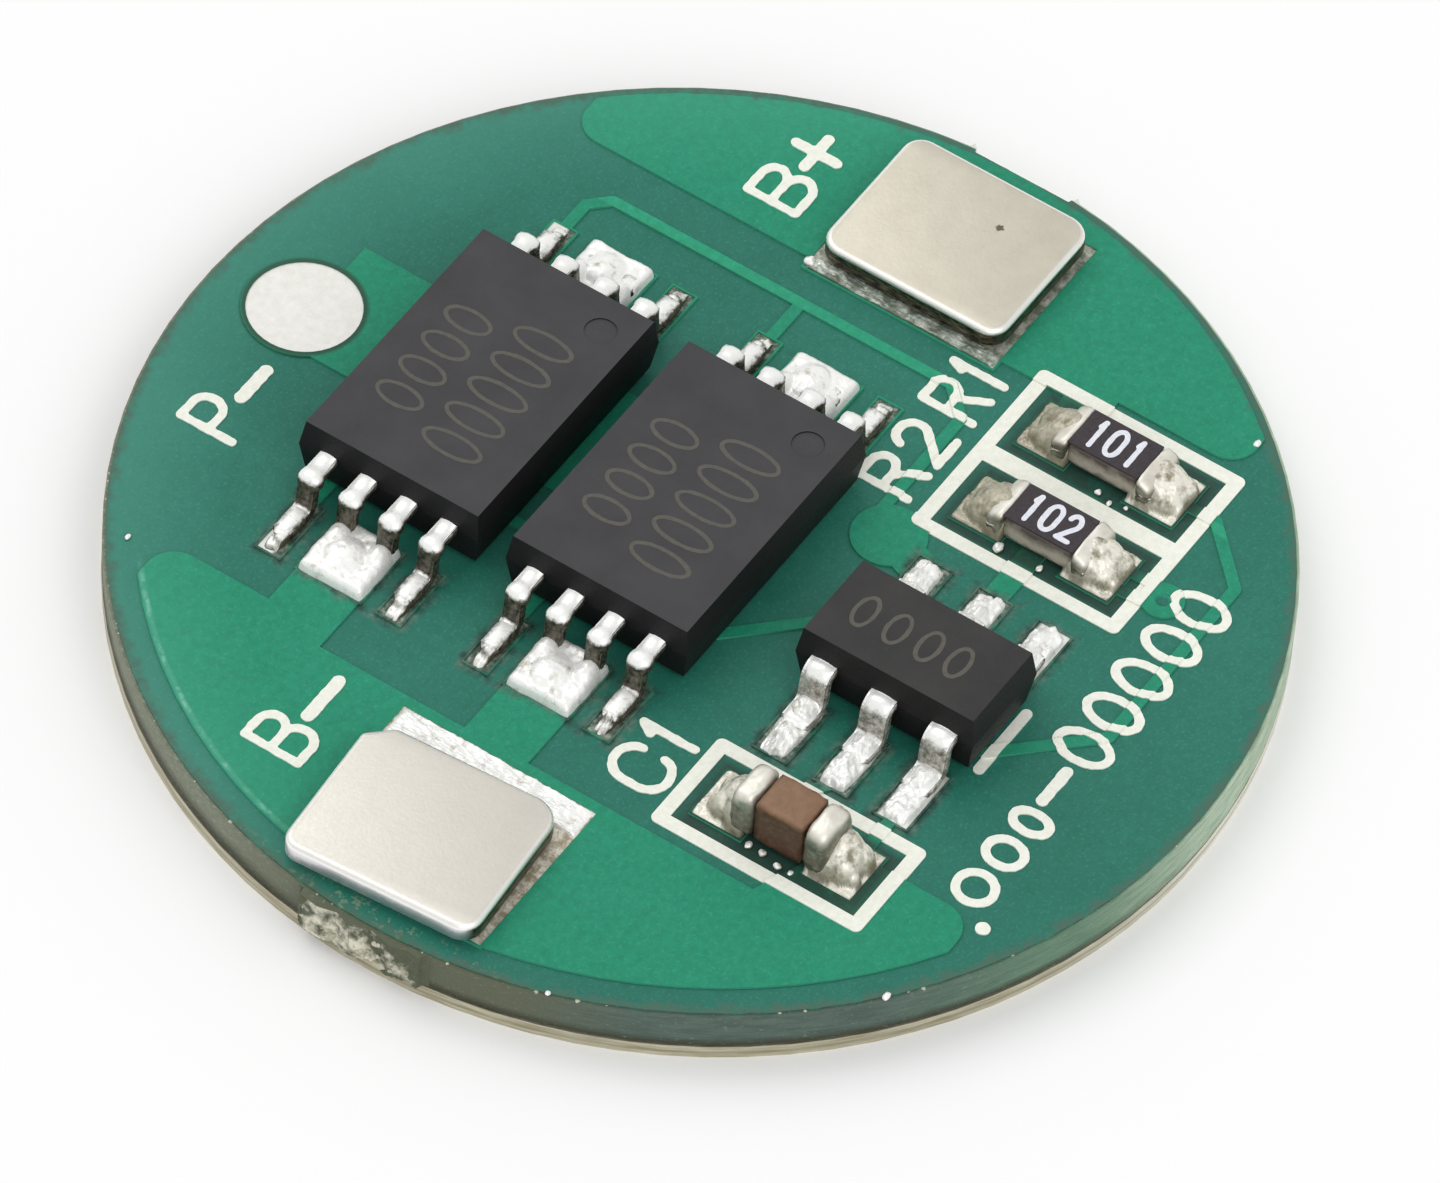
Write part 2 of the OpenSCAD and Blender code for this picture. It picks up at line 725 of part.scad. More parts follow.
// A plate with round corners whose top edge is bevelled all round
module bevelled_plate(size, thickness, radius, edge) {
    low = thickness - edge;
    linear_extrude(low) rounded(size, radius);
    for (x = [-1, 1], y = [-1, 1])
        translate([x * (size.x / 2 - radius), y * (size.y / 2 - radius), low])
            cylinder(r1 = radius, r2 = radius - edge, h = edge);
    for (turn = [0, 90]) {
        across = turn == 0 ? size.x : size.y;
        along = turn == 0 ? size.y : size.x;
        rotate([0, 0, turn]) translate([0, along / 2 - radius, low]) rotate([90, 0, 0])
            linear_extrude(along - 2 * radius)
                polygon([[-across / 2, 0], [across / 2, 0],
                    [across / 2 - edge, edge], [-across / 2 + edge, edge]]);
    }
}

module tab() {
    color("silver") translate([0, 0, z_seat + tab_solder_t])
        bevelled_plate([tab_w, tab_l], tab_t, tab_r, tab_edge);
}

// Outline of the solder under a tab, before it is cut to the land
module tab_solder_outline() {
    rounded([tab_w - 2 * tab_solder_in, tab_l - 2 * tab_solder_in], tab_r);
}

module on_positive_tab() {
    translate([positive_tab_x, 0]) children();
}

module on_negative_tab() {
    translate([negative_tab_x, negative_tab_y]) rotate(negative_tab_turn) children();
}

module positive_tab() { on_positive_tab() tab(); }

// One inner corner is cut across
module negative_tab() {
    side = negative_tab_cut * sqrt(2);
    on_negative_tab() difference() {
        tab();
        translate([tab_w / 2, tab_l / 2, z_seat]) rotate(45) cube([side, side, 3 * tab_t], center = true);
    }
}

module positive_tab_solder() {
    color("whitesmoke") translate([0, 0, z_seat]) linear_extrude(tab_solder_t) intersection() {
        on_positive_tab() tab_solder_outline();
        positive_land();
    }
}

module negative_tab_solder() {
    color("whitesmoke") translate([0, 0, z_seat]) linear_extrude(tab_solder_t) intersection() {
        on_negative_tab() tab_solder_outline();
        negative_land();
    }
}

// ---------- formed leads ----------

// Points of an arc, from one angle to another
function arc(centre, radius, from, to, steps = 7) = [
    for (i = [0:steps])
        let (angle = from + (to - from) * i / steps)
            centre + radius * [cos(angle), sin(angle)]
];

// Side view of a lead: out of the moulding, over the shoulder, down the leg and along the foot.
// The foot's underside is at height 0 and its tip at x = tip.
function lead_profile(inner, tip, height, foot, thick) =
    let (
        turn = 90 - leg_lean,
        out = bend_r + thick,
        heel = tip - foot,
        heel_c = [heel + bend_r, out],
        shoulder_z = height - thick / 2 - bend_r,
        shift = (shoulder_z - out) * tan(leg_lean) + (2 * bend_r + thick) / cos(leg_lean),
        shoulder_c = [heel_c.x - shift, shoulder_z]
    )
    concat(
        [[inner, height + thick / 2]],
        arc(shoulder_c, out, 90, 90 - turn),
        arc(heel_c, bend_r, 270 - turn, 270),
        [[tip, thick], [tip, 0]],
        arc(heel_c, out, 270, 270 - turn),
        arc(shoulder_c, bend_r, 90 - turn, 90),
        [[inner, height - thick / 2]]
    );

// One lead, pointing along +X, centred on y = 0
module lead(inner, tip, height, foot, thick, width) {
    translate([0, width / 2, 0]) rotate([90, 0, 0]) linear_extrude(width)
        polygon(lead_profile(inner, tip, height, foot, thick));
}

// ---------- moulded packages ----------

// A moulding with drafted faces above and below its parting plane.
// size is width, length and thickness; part_z is the height of the parting plane.
module moulding(size, part_z) {
    module wedge(across, along) {
        up = (size.z - part_z) * tan(draft);
        down = part_z * tan(draft);
        half = across / 2;
        translate([0, along / 2 + 1, 0]) rotate([90, 0, 0]) linear_extrude(along + 2)
            polygon([
                [-half, part_z], [-half + down, 0], [half - down, 0],
                [half, part_z], [half - up, size.z], [-half + up, size.z]
            ]);
    }
    intersection() {
        wedge(size.x, size.y);
        rotate(90) wedge(size.y, size.x);
    }
}

// ---------- switching transistors ----------

module at_mosfet(y) {
    translate([mosfet_x, y, z_seat]) children();
}

module mosfet_lead(side, row, inner) {
    translate([0, row * mosfet_pitch, 0]) mirror([side < 0 ? 1 : 0, 0, 0])
        lead(inner, mosfet_span / 2, mosfet_lead_z, mosfet_foot, mosfet_lead_t, mosfet_lead_w);
}

// A flat bar of the lead frame inside the moulding
module frame_bar(low, high, height, thick) {
    translate([low.x, low.y, height - thick / 2]) cube([high.x - low.x, high.y - low.y, thick]);
}

// The paddle that carries the die, with the drain lead at each end
module drain_frame() {
    half_l = mosfet_outer_y + mosfet_lead_w / 2;
    color("lightgray") {
        frame_bar([-paddle_w / 2, -half_l], [paddle_w / 2, half_l - mosfet_pitch],
            mosfet_lead_z, mosfet_lead_t);
        for (side = [-1, 1]) mosfet_lead(side, -1.5, paddle_w / 2 - lead_in);
    }
}

// Middle leads, joined by a bar inside the moulding at each side
module source_leads() {
    inner = paddle_w / 2 + frame_gap;
    half = (mosfet_pitch + mosfet_lead_w) / 2;
    color("lightgray") for (side = [-1, 1]) {
        for (row = [-0.5, 0.5]) mosfet_lead(side, row, inner);
        mirror([side < 0 ? 1 : 0, 0, 0])
            frame_bar([inner, -half], [inner + bond_bar, half], mosfet_lead_z, mosfet_lead_t);
    }
}

module gate_leads() {
    color("lightgray") for (side = [-1, 1]) mosfet_lead(side, 1.5, paddle_w / 2 + frame_gap);
}

module mosfet_die() {
    size = [paddle_w - 2 * die_in, 2 * mosfet_pitch, die_t];
    color("dimgray")
        translate([-size.x / 2, -size.y / 2 - die_off, mosfet_lead_z + mosfet_lead_t / 2]) cube(size);
}

module mosfet_body() {
    color("#3a3839") difference() {
        translate([0, 0, standoff]) moulding([mosfet_w, mosfet_l, mosfet_t], mosfet_lead_z - standoff);
        drain_frame();
        source_leads();
        gate_leads();
        mosfet_die();
        translate([mosfet_w / 2 - pin_mark_in.x, pin_mark_in.y - mosfet_l / 2, standoff + mosfet_t])
            cylinder(d = pin_mark_d, h = 2 * pin_mark_depth, center = true);
    }
}

// Solder round a single lead's foot: a slope off the toe, a film beside the foot and a slope up the heel
module foot_solder(tip, foot, thick, land_in, land_out, width) {
    heel = tip - foot;
    translate([0, width / 2, 0]) rotate([90, 0, 0]) linear_extrude(width) {
        translate([land_in, 0]) square([land_out - land_in, film_t]);
        translate([tip, 0]) hollow_slope(land_out - tip, thick);
        translate([heel + heel_in, 0]) mirror([1, 0, 0]) hollow_slope(heel - land_in, thick * heel_climb);
        translate([heel, 0]) square([foot, thick * 0.6]);
    }
}

// A mound of solder over a land, round both ways
module mound(size, height) {
    module ridge(across, along) {
        radius = (across * across / 4 + height * height) / (2 * height);
        rotate([90, 0, 0]) translate([0, 0, -along / 2]) linear_extrude(along) intersection() {
            translate([0, height - radius]) circle(r = radius);
            translate([-across / 2, 0]) square([across, height]);
        }
    }
    intersection() {
        ridge(size.x, size.y);
        rotate(90) ridge(size.y, size.x);
    }
}

module mosfet_solder() {
    length = mosfet_land_out - mosfet_land_in;
    middle = (mosfet_land_out + mosfet_land_in) / 2;
    color("whitesmoke") difference() {
        for (side = [-1, 1]) mirror([side < 0 ? 1 : 0, 0, 0]) {
            for (row = [-1, 1]) translate([0, row * mosfet_outer_y, 0])
                foot_solder(mosfet_span / 2, mosfet_foot, mosfet_lead_t,
                    mosfet_land_in, mosfet_land_out, mosfet_land_w);
            translate([middle, 0, 0]) mound([length, mosfet_pair_land_w], mound_h);
        }
        drain_frame();
        source_leads();
        gate_leads();
    }
}

module mosfet_a_body() { at_mosfet(mosfet_a_y) mosfet_body(); }
module mosfet_a_drain_frame() { at_mosfet(mosfet_a_y) drain_frame(); }
module mosfet_a_source_leads() { at_mosfet(mosfet_a_y) source_leads(); }
module mosfet_a_gate_leads() { at_mosfet(mosfet_a_y) gate_leads(); }
module mosfet_a_die() { at_mosfet(mosfet_a_y) mosfet_die(); }
module mosfet_a_solder() { at_mosfet(mosfet_a_y) mosfet_solder(); }
module mosfet_b_body() { at_mosfet(mosfet_b_y) mosfet_body(); }
module mosfet_b_drain_frame() { at_mosfet(mosfet_b_y) drain_frame(); }
module mosfet_b_source_leads() { at_mosfet(mosfet_b_y) source_leads(); }
module mosfet_b_gate_leads() { at_mosfet(mosfet_b_y) gate_leads(); }
module mosfet_b_die() { at_mosfet(mosfet_b_y) mosfet_die(); }
module mosfet_b_solder() { at_mosfet(mosfet_b_y) mosfet_solder(); }

// ---------- controller ----------

module at_controller() {
    translate([controller_x, row_y, z_seat]) children();
}

module controller_lead(side, row, inner) {
    translate([0, row * controller_pitch, 0]) mirror([side < 0 ? 1 : 0, 0, 0])
        lead(inner, controller_span / 2, controller_lead_z, controller_foot,
            controller_lead_t, controller_lead_w);
}

// The paddle that carries the die, with the ground lead
module ground_frame() {
    half_l = controller_pitch + controller_lead_w / 2;
    color("lightgray") {
        frame_bar([-controller_paddle_w / 2, -half_l], [controller_paddle_w / 2, half_l],
            controller_lead_z, controller_lead_t);
        controller_lead(-1, -1, controller_paddle_w / 2 - lead_in);
    }
}

module other_leads() {
    color("lightgray") for (side = [-1, 1], row = [-1, 0, 1])
        if (side > 0 || row > -1)
            controller_lead(side, row, controller_paddle_w / 2 + controller_frame_gap);
}

module chip_die() {
    size = [controller_die_size.x, controller_die_size.y, die_t];
    color("dimgray")
        translate([-size.x / 2, -size.y / 2, controller_lead_z + controller_lead_t / 2]) cube(size);
}

module controller_body() {
    color("#343233") at_controller() difference() {
        translate([0, 0, standoff])
            moulding([controller_w, controller_l, controller_t], controller_lead_z - standoff);
        ground_frame();
        other_leads();
        chip_die();
    }
}

module controller_ground_frame() { at_controller() ground_frame(); }
module controller_leads() { at_controller() other_leads(); }
module controller_die() { at_controller() chip_die(); }

module controller_solder() {
    color("whitesmoke") at_controller() difference() {
        for (side = [-1, 1], row = [-1, 0, 1]) mirror([side < 0 ? 1 : 0, 0, 0])
            translate([0, row * controller_pitch, 0])
                foot_solder(controller_span / 2, controller_foot, controller_lead_t,
                    controller_land_in, controller_land_out, controller_land_w);
        ground_frame();
        other_leads();
    }
}

// ---------- chip resistors and capacitor ----------

module at_chip(x) {
    translate([x, row_y - chip_drift, z_seat + chip_solder_t]) children();
}

// A rectangle round which a chip's metal ends are wrapped
module core(size, corner) {
    translate([0, 0, size.z / 2]) rotate([90, 0, 0]) linear_extrude(size.y - 2 * terminal_t, center = true)
        rounded([size.x - 2 * terminal_t, size.z - 2 * terminal_t], corner);
}

// A chip's metal ends: caps over both ends
module end_caps(size, end_l, corner) {
    color("gainsboro") for (end = [-1, 1]) intersection() {
        translate([0, 0, size.z / 2]) rotate([90, 0, 0]) linear_extrude(size.y, center = true)
            rounded([size.x, size.z], corner);
        linear_extrude(size.z) rounded([size.x, size.y], corner);
        translate([-size.x / 2, end > 0 ? size.y / 2 - end_l : -size.y / 2, 0])
            cube([size.x, end_l, size.z]);
    }
}

module substrate() {
    color("lightgray") core(resistor_size, resistor_corner);
}

// The black coat over the resistive film, between the metal ends
module overcoat() {
    size = [resistor_w - 2 * terminal_t - overcoat_in, resistor_l - 2 * resistor_end, overcoat_t];
    color("#1d1b1c") translate([-size.x / 2, -size.y / 2, resistor_t - terminal_t]) cube(size);
}

module resistor_terminals() {
    difference() {
        end_caps(resistor_size, resistor_end, terminal_t);
        substrate();
    }
}

module capacitor_ceramic() {
    color("#936a50") core(capacitor_size, capacitor_corner);
}

module capacitor_terminals() {
    difference() {
        end_caps(capacitor_size, capacitor_end, 2 * capacitor_corner);
        capacitor_ceramic();
    }
}

// Solder at both ends of a chip: a film under the metal and a slope from the end down to the land's edge.
// It is drawn about the middle of the lands, which the chip sits off by `off`.
module chip_solder(size, end_l, climb, off) {
    width = chip_land_w - 2 * chip_solder_in;
    color("whitesmoke") for (end = [-1, 1]) mirror([0, end < 0 ? 1 : 0, 0]) {
        reach = size.y / 2 + end * off.y;
        inner = max(reach - end_l, chip_land_gap / 2) + chip_solder_in;
        difference() {
            union() {
                translate([-width / 2, inner, 0]) cube([width, chip_lands / 2 - inner, chip_solder_t]);
                translate([-width / 2, reach, 0]) rotate([90, 0, 90]) linear_extrude(width)
                    hollow_slope(chip_lands / 2 - reach, climb);
                translate([-width / 2, inner, 0]) cube([width, reach - inner, climb * chip_side_climb]);
            }
            translate([off.x, end * off.y, chip_solder_t]) children();
        }
    }
}

module resistor_solder(x) {
    translate([x, row_y, z_seat])
        chip_solder(resistor_size, resistor_end, chip_fillet_h, [0, -chip_drift]) {
            resistor_terminals();
            substrate();
        }
}

module capacitor_solder() {
    off = [-capacitor_drift, -chip_drift];
    translate([capacitor_x, row_y, z_seat])
        chip_solder(capacitor_size, capacitor_end, chip_fillet_h * capacitor_climb, off) {
            capacitor_terminals();
            capacitor_ceramic();
        }
}

module r1_substrate() { at_chip(r1_x) substrate(); }
module r1_overcoat() { at_chip(r1_x) overcoat(); }
module r1_terminals() { at_chip(r1_x) resistor_terminals(); }
module r1_solder() { resistor_solder(r1_x); }
module r2_substrate() { at_chip(r2_x) substrate(); }
module r2_overcoat() { at_chip(r2_x) overcoat(); }
module r2_terminals() { at_chip(r2_x) resistor_terminals(); }
module r2_solder() { resistor_solder(r2_x); }
module c1_ceramic() { at_chip(capacitor_x - capacitor_drift) capacitor_ceramic(); }
module c1_terminals() { at_chip(capacitor_x - capacitor_drift) capacitor_terminals(); }
module c1_solder() { capacitor_solder(); }

laminate();
bottom_contact();
contact_joint();
positive_pour();
negative_pour();
output_pour();
left_gate_track();
right_gate_track();
sense_track();
supply_track();
output_via();
drain_lands();
tin_finish();
solder_mask();
legend_frames();
positive_tab();
positive_tab_solder();
negative_tab();
negative_tab_solder();
mosfet_a_body();
mosfet_a_drain_frame();
mosfet_a_source_leads();
mosfet_a_gate_leads();
mosfet_a_die();
mosfet_a_solder();
mosfet_b_body();
mosfet_b_drain_frame();
mosfet_b_source_leads();
mosfet_b_gate_leads();
mosfet_b_die();
mosfet_b_solder();
controller_body();
controller_ground_frame();
controller_leads();
controller_die();
controller_solder();
r1_substrate();
r1_overcoat();
r1_terminals();
r1_solder();
r2_substrate();
r2_overcoat();
r2_terminals();
r2_solder();
c1_ceramic();
c1_terminals();
c1_solder();
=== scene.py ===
"""The battery management board's looks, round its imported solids. Lengths are in millimetres."""

import json
import random
from collections import namedtuple
from functools import cache
from math import atan2, cos, exp, pi, radians, sin, tan

import bpy
import numpy as np
from mathutils import Matrix, Vector
from mathutils.bvhtree import BVHTree


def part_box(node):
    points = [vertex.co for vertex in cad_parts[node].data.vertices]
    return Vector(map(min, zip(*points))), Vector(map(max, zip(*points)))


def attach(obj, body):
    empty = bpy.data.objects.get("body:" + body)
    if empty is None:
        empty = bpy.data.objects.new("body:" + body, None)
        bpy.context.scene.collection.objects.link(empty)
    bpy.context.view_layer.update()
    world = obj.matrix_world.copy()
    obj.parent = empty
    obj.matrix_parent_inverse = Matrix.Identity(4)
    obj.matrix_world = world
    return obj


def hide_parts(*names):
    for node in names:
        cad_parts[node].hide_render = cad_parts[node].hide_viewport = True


MM = 0.001
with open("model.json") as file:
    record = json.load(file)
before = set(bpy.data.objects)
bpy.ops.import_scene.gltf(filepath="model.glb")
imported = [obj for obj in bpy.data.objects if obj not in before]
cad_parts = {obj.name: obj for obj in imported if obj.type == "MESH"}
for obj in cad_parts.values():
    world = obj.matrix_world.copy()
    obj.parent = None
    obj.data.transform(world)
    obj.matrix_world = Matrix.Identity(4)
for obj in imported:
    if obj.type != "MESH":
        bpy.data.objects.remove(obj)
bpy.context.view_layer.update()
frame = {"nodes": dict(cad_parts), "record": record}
NODE = frame["nodes"]
ROOT = "root"


def box_mm(name):
    """A node's lowest and highest corner, in millimetres."""
    low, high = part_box(name)
    return np.array(low) / MM, np.array(high) / MM


def middle_of(name):
    return sum(box_mm(name))[:2] / 2


def new_object(name, data):
    made = bpy.data.objects.new(name, data)
    bpy.context.scene.collection.objects.link(made)
    return made


# ---------- camera, as fitted to the photograph ----------

AZIMUTH, ELEVATION, ROLL = (radians(a) for a in (-59.709, 50.862, 4.544))
TARGET = Vector((-0.6254, -0.7065, 0.913)) * MM
DISTANCE = 188.0 * MM
LENS = 353.3
SENSOR_WIDTH = 36


def add_camera():
    back = Vector((sin(AZIMUTH) * cos(ELEVATION), -cos(AZIMUTH) * cos(ELEVATION),
                   sin(ELEVATION)))
    level = (-back).cross(Vector((0, 0, 1))).normalized()
    upright = level.cross(-back).normalized()
    right = cos(ROLL) * level + sin(ROLL) * upright
    up = cos(ROLL) * upright - sin(ROLL) * level
    data = bpy.data.cameras.new("camera")
    data.lens = LENS
    data.sensor_width = SENSOR_WIDTH
    data.clip_start = 0.01
    data.clip_end = 10
    camera = new_object("camera", data)
    turn = Matrix((right, up, back)).transposed().to_4x4()
    camera.matrix_world = Matrix.Translation(TARGET + back * DISTANCE) @ turn
    bpy.context.scene.camera = camera


add_camera()


# ---------- materials: the nodes they are made of ----------

def srgb(r, g, b):
    """A colour given as it shows on screen, 0 to 255, as linear values."""
    def one(v):
        v /= 255
        return v / 12.92 if v <= 0.04045 else ((v + 0.055) / 1.055) ** 2.4
    return one(r), one(g), one(b), 1


class Look:
    """A node material round one Principled shader, with short ways to add the nodes that it uses.
    Wherever a value goes in, (r, g, b) is a colour as it shows on screen, 0 to 255, and (value, low, high) or
    (value, low, high, to_low, to_high) is a ramp."""

    def __init__(self, name, color, roughness, metallic=0.0, specular=0.5):
        self.mat = bpy.data.materials.new(name)
        self.mat.use_nodes = True
        self.mat.diffuse_color = srgb(*color)
        self.tree = self.mat.node_tree
        self.bsdf = self.tree.nodes["Principled BSDF"]
        for key, value in (("Base Color", srgb(*color)), ("Roughness", roughness), ("Metallic", metallic),
                           ("Specular IOR Level", specular)):
            self.bsdf.inputs[key].default_value = value
        self.coords = self.node("TexCoord", {}).outputs["Object"]
        self.base = color

    def node(self, kind, inputs, **settings):
        """A new shader node, its inputs linked to a socket or set to a value."""
        made = self.tree.nodes.new("ShaderNode" + kind)
        for key, value in settings.items():
            setattr(made, key, value)
        for key, source in inputs.items():
            if isinstance(source, tuple):
                source = self.ramp(*source) if isinstance(source[0], bpy.types.NodeSocket) else srgb(*source)
            if isinstance(source, bpy.types.NodeSocket):
                self.tree.links.new(source, made.inputs[key])
            else:
                made.inputs[key].default_value = source
        return made

    def noise(self, size, detail=3.0, rough=0.6, stretch=(1, 1, 1)):
        """Noise whose blobs are about `size` mm across."""
        at = self.node("Mapping", {"Vector": self.coords, "Scale": [s / MM for s in stretch]}).outputs[0]
        inputs = {"Vector": at, "Scale": 1 / size, "Detail": detail, "Roughness": rough}
        return self.node("TexNoise", inputs).outputs["Fac"]

    def math(self, operation, a, b=0.0):
        return self.node("Math", {0: a, 1: b}, operation=operation).outputs[0]

    def add(self, a, b):
        return self.math("ADD", a, b)

    def minus(self, a, b):
        return self.math("SUBTRACT", a, b)

    def times(self, a, b):
        return self.math("MULTIPLY", a, b)

    def axis(self, letter):
        """One coordinate in millimetres."""
        return self.times(self.node("SeparateXYZ", {0: self.coords}).outputs[letter], 1 / MM)

    def distance(self, letter, at):
        """How far a point lies from one value of a coordinate, in millimetres."""
        return self.math("ABSOLUTE", self.minus(self.axis(letter), float(at)))

    def radius(self, x=0.0, y=0.0):
        """How far a point lies from an upright axis, in millimetres."""
        squares = [self.math("POWER", self.distance(letter, at), 2.0) for letter, at in (("X", x), ("Y", y))]
        return self.math("SQRT", self.add(*squares))

    def facing_up(self):
        """1 on faces that look up, 0 on upright ones."""
        normal = self.node("NewGeometry", {}).outputs["Normal"]
        return self.node("SeparateXYZ", {0: normal}).outputs["Z"]

    def ramp(self, value, low, high, to_low=0.0, to_high=1.0):
        """value from low..high to to_low..to_high, held outside."""
        ends = {"From Min": low, "From Max": high, "To Min": to_low, "To Max": to_high}
        return self.node("MapRange", {"Value": value, **ends}).outputs[0]

    def mix(self, factor, a, b):
        return self.node("Mix", {0: factor, 6: a, 7: b}, data_type="RGBA").outputs[2]

    def paint(self, factor, color):
        """Lays a colour over what is there."""
        self.base = self.mix(factor, self.base, color)

    def finish(self, height, depth, strength=0.8, grain=None, rough=()):
        """Links the colour, a bump whose full swing is `depth` mm, and a roughness that runs from one value of
        `rough` to the other with the grain."""
        bump = self.node("Bump", {"Height": height, "Strength": strength, "Distance": depth * MM}).outputs[0]
        self.tree.links.new(self.base, self.bsdf.inputs["Base Color"])
        self.tree.links.new(bump, self.bsdf.inputs["Normal"])
        if grain:
            self.tree.links.new(self.ramp(grain, 0.3, 0.7, *rough), self.bsdf.inputs["Roughness"])
        return self


# ---------- places on the board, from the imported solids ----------

def islands(name):
    """The lowest and highest corner of each separate part of a node, in millimetres."""
    points = [tuple(c / MM for c in v.co) for v in NODE[name].data.vertices]
    corners = [tuple(round(c, 4) for c in p) for p in points]
    joined = {}

    def root(p):
        while joined.setdefault(p, p) != p:
            p = joined[p]
        return p

    for a, b in (e.vertices for e in NODE[name].data.edges):
        joined[root(corners[a])] = root(corners[b])
    parts = {}
    for corner, point in zip(corners, points):
        parts.setdefault(root(corner), []).append(point)
    return [(np.min(p, 0), np.max(p, 0)) for p in parts.values()]


LOW, HIGH = box_mm("laminate")
Z_BOARD = HIGH[2]
Z_COPPER = box_mm("positive_pour")[1][2]
Z_SEAT = box_mm("tin_finish")[1][2]
Z_MASK = box_mm("solder_mask")[1][2]
MASK_T = Z_MASK - Z_COPPER
BOARD_R = box_mm("bottom_contact")[1][0]
POUR_R = -box_mm("negative_pour")[0][0]
TRACK_X = box_mm("right_gate_track")[1][0] - 0.055
# The bare lands, the round one among them, and those of the leads' feet
LANDS = islands("tin_finish")
OUTPUT, OUTPUT_R = next(((low + high)[:2] / 2, (high - low)[0] / 2) for low, high in LANDS if low[1] > 4.6)
CHIPS = [middle_of(f"{tag}_terminals") for tag in ("r1", "r2", "c1")]
CHIP_Y = CHIPS[0][1]
FEET = [(low, high) for low, high in LANDS
        if abs(low[0]) < 4.5 and abs(high[0]) < 4.5 and low[1] < 4.6
        and all(abs((low[0] + high[0]) / 2 - chip[0]) > 0.3 for chip in CHIPS)]
STAIN_HALF = (0.7, 1.62)
PIT = (6.6, -0.42)


# ---------- the board's materials ----------

def mask_base(look, high, fine):
    """Light and yellowish over copper, darker over bare laminate, thin over the right gate track, speckled."""
    cloud = look.noise(2.6, 4, 0.55)
    over_laminate = look.mix(cloud, (34, 108, 92), (52, 130, 112))
    over_copper = look.mix(cloud, (24, 142, 106), (42, 152, 120))
    look.base = look.mix(high, over_laminate, over_copper)
    thin = look.times((look.distance("X", TRACK_X), 0.07, 0.1, 0.7, 0.0), high)
    look.paint(thin, (48, 168, 128))
    look.paint((fine, 0.3, 0.7, 0.0, 0.3), (20, 84, 66))
    look.paint((look.noise(0.05, 2), 0.55, 0.8, 0.0, 0.25), (96, 184, 158))


def mask_stains(look):
    """Flux stain inside the chips' printed frames."""
    stain = look.ramp(look.noise(0.5, 4, 0.7), 0.28, 0.5, 0.6, 1.0)
    for chip in CHIPS:
        shares = [look.math("DIVIDE", look.distance("XY"[k], chip[k]), STAIN_HALF[k]) for k in (0, 1)]
        near = look.ramp(look.math("MAXIMUM", *shares), 0.8, 1.0, 0.9, 0.0)
        look.paint(look.times(near, stain), (42, 64, 56))


def mask_rim(look, high):
    """A painted reflection, paler towards the rim on the +Y side, with painted highlight flecks on the pour's
    curved edge, pale chips above the snapped bridge, and thin and grey where the laminate was cut."""
    x, y, radius = look.axis("X"), look.axis("Y"), look.radius()
    # Painted reflection: the mask is painted paler towards the rim on the +Y side, for the softbox's broad
    # reflection.
    pale = look.times((radius, 6.3, 7.9), (y, 0.0, 3.0, 0.0, 0.34))
    look.paint(pale, look.mix(high, (88, 164, 144), (78, 172, 142)))
    # Painted highlight: bright flecks along the pour's curved edge, where the mask's step catches the light.
    edge = look.ramp(look.math("ABSOLUTE", look.minus(radius, POUR_R - 0.03)), 0.015, 0.05, 1.0, 0.0)
    edge = look.times(look.times(edge, (y, 0.6, 1.4)), (x, -5.2, -4.6, 1.0, 0.0))
    highlight_flecks = look.ramp(look.noise(0.3, 3, 0.7), 0.5, 0.75, 0.12, 0.85)
    look.paint(look.times(edge, highlight_flecks), (150, 214, 194))
    chips = look.times((x, -7.75, -7.55, 0.55, 0.0), (look.noise(0.12, 3, 0.7), 0.54, 0.62))
    look.paint(chips, (158, 172, 142))
    worn = look.add(radius, (look.noise(0.2, 4, 0.75), 0.3, 0.7, -0.12, 0.12))
    look.paint((worn, BOARD_R - 0.2, BOARD_R - 0.02), (76, 106, 92))


def mask_residue(look):
    """Flux residue round the leads' lands, in soft grey-green patches."""
    reach = None
    for low, high in FEET:
        middle, half = (low + high) / 2, (high - low) / 2
        off = [look.minus(look.distance("XY"[k], middle[k]), half[k]) for k in (0, 1)]
        off = look.math("MAXIMUM", *off)
        reach = look.math("MINIMUM", reach, off) if reach else off
    reach = look.add(reach, (look.noise(0.3), 0.3, 0.7, -0.07, 0.1))
    residue = look.mix((look.noise(0.2), 0.4, 0.7), (44, 76, 68), (104, 132, 118))
    look.paint((reach, 0.02, 0.16, 0.95, 0.0), residue)


def mask_look():
    """Green mask over the foil and the laminate, with the walls at its steps painted paler as painted light
    against their shade, and a satin gloss.
    """
    look = Look("mask_green", (40, 140, 105), 0.4, specular=0.22)
    high = look.ramp(look.axis("Z"), Z_BOARD + MASK_T + 0.006, Z_MASK - 0.004)
    fine = look.noise(0.12, 3, 0.7)
    mask_base(look, high, fine)
    mask_stains(look)
    # Painted light: faces that don't look up, the walls at the mask's steps, are painted paler against their
    # shade.
    look.paint((look.facing_up(), 0.7, 0.2), (72, 160, 130))
    mask_rim(look, high)
    # Painted shade: a dark ring round the round land, at its recessed edge.
    ring = look.ramp(look.radius(*OUTPUT), OUTPUT_R + 0.04, OUTPUT_R + 0.1, 0.85, 0.0)
    look.paint(ring, (46, 74, 60))
    mask_residue(look)
    weave = look.add(look.noise(0.35, stretch=(1, 0.35, 1)), look.noise(0.35, stretch=(0.35, 1, 1)))
    return look.finish(look.add(weave, look.times(fine, 0.35)), 0.006, 0.6, look.noise(0.5, 4), (0.36, 0.5))


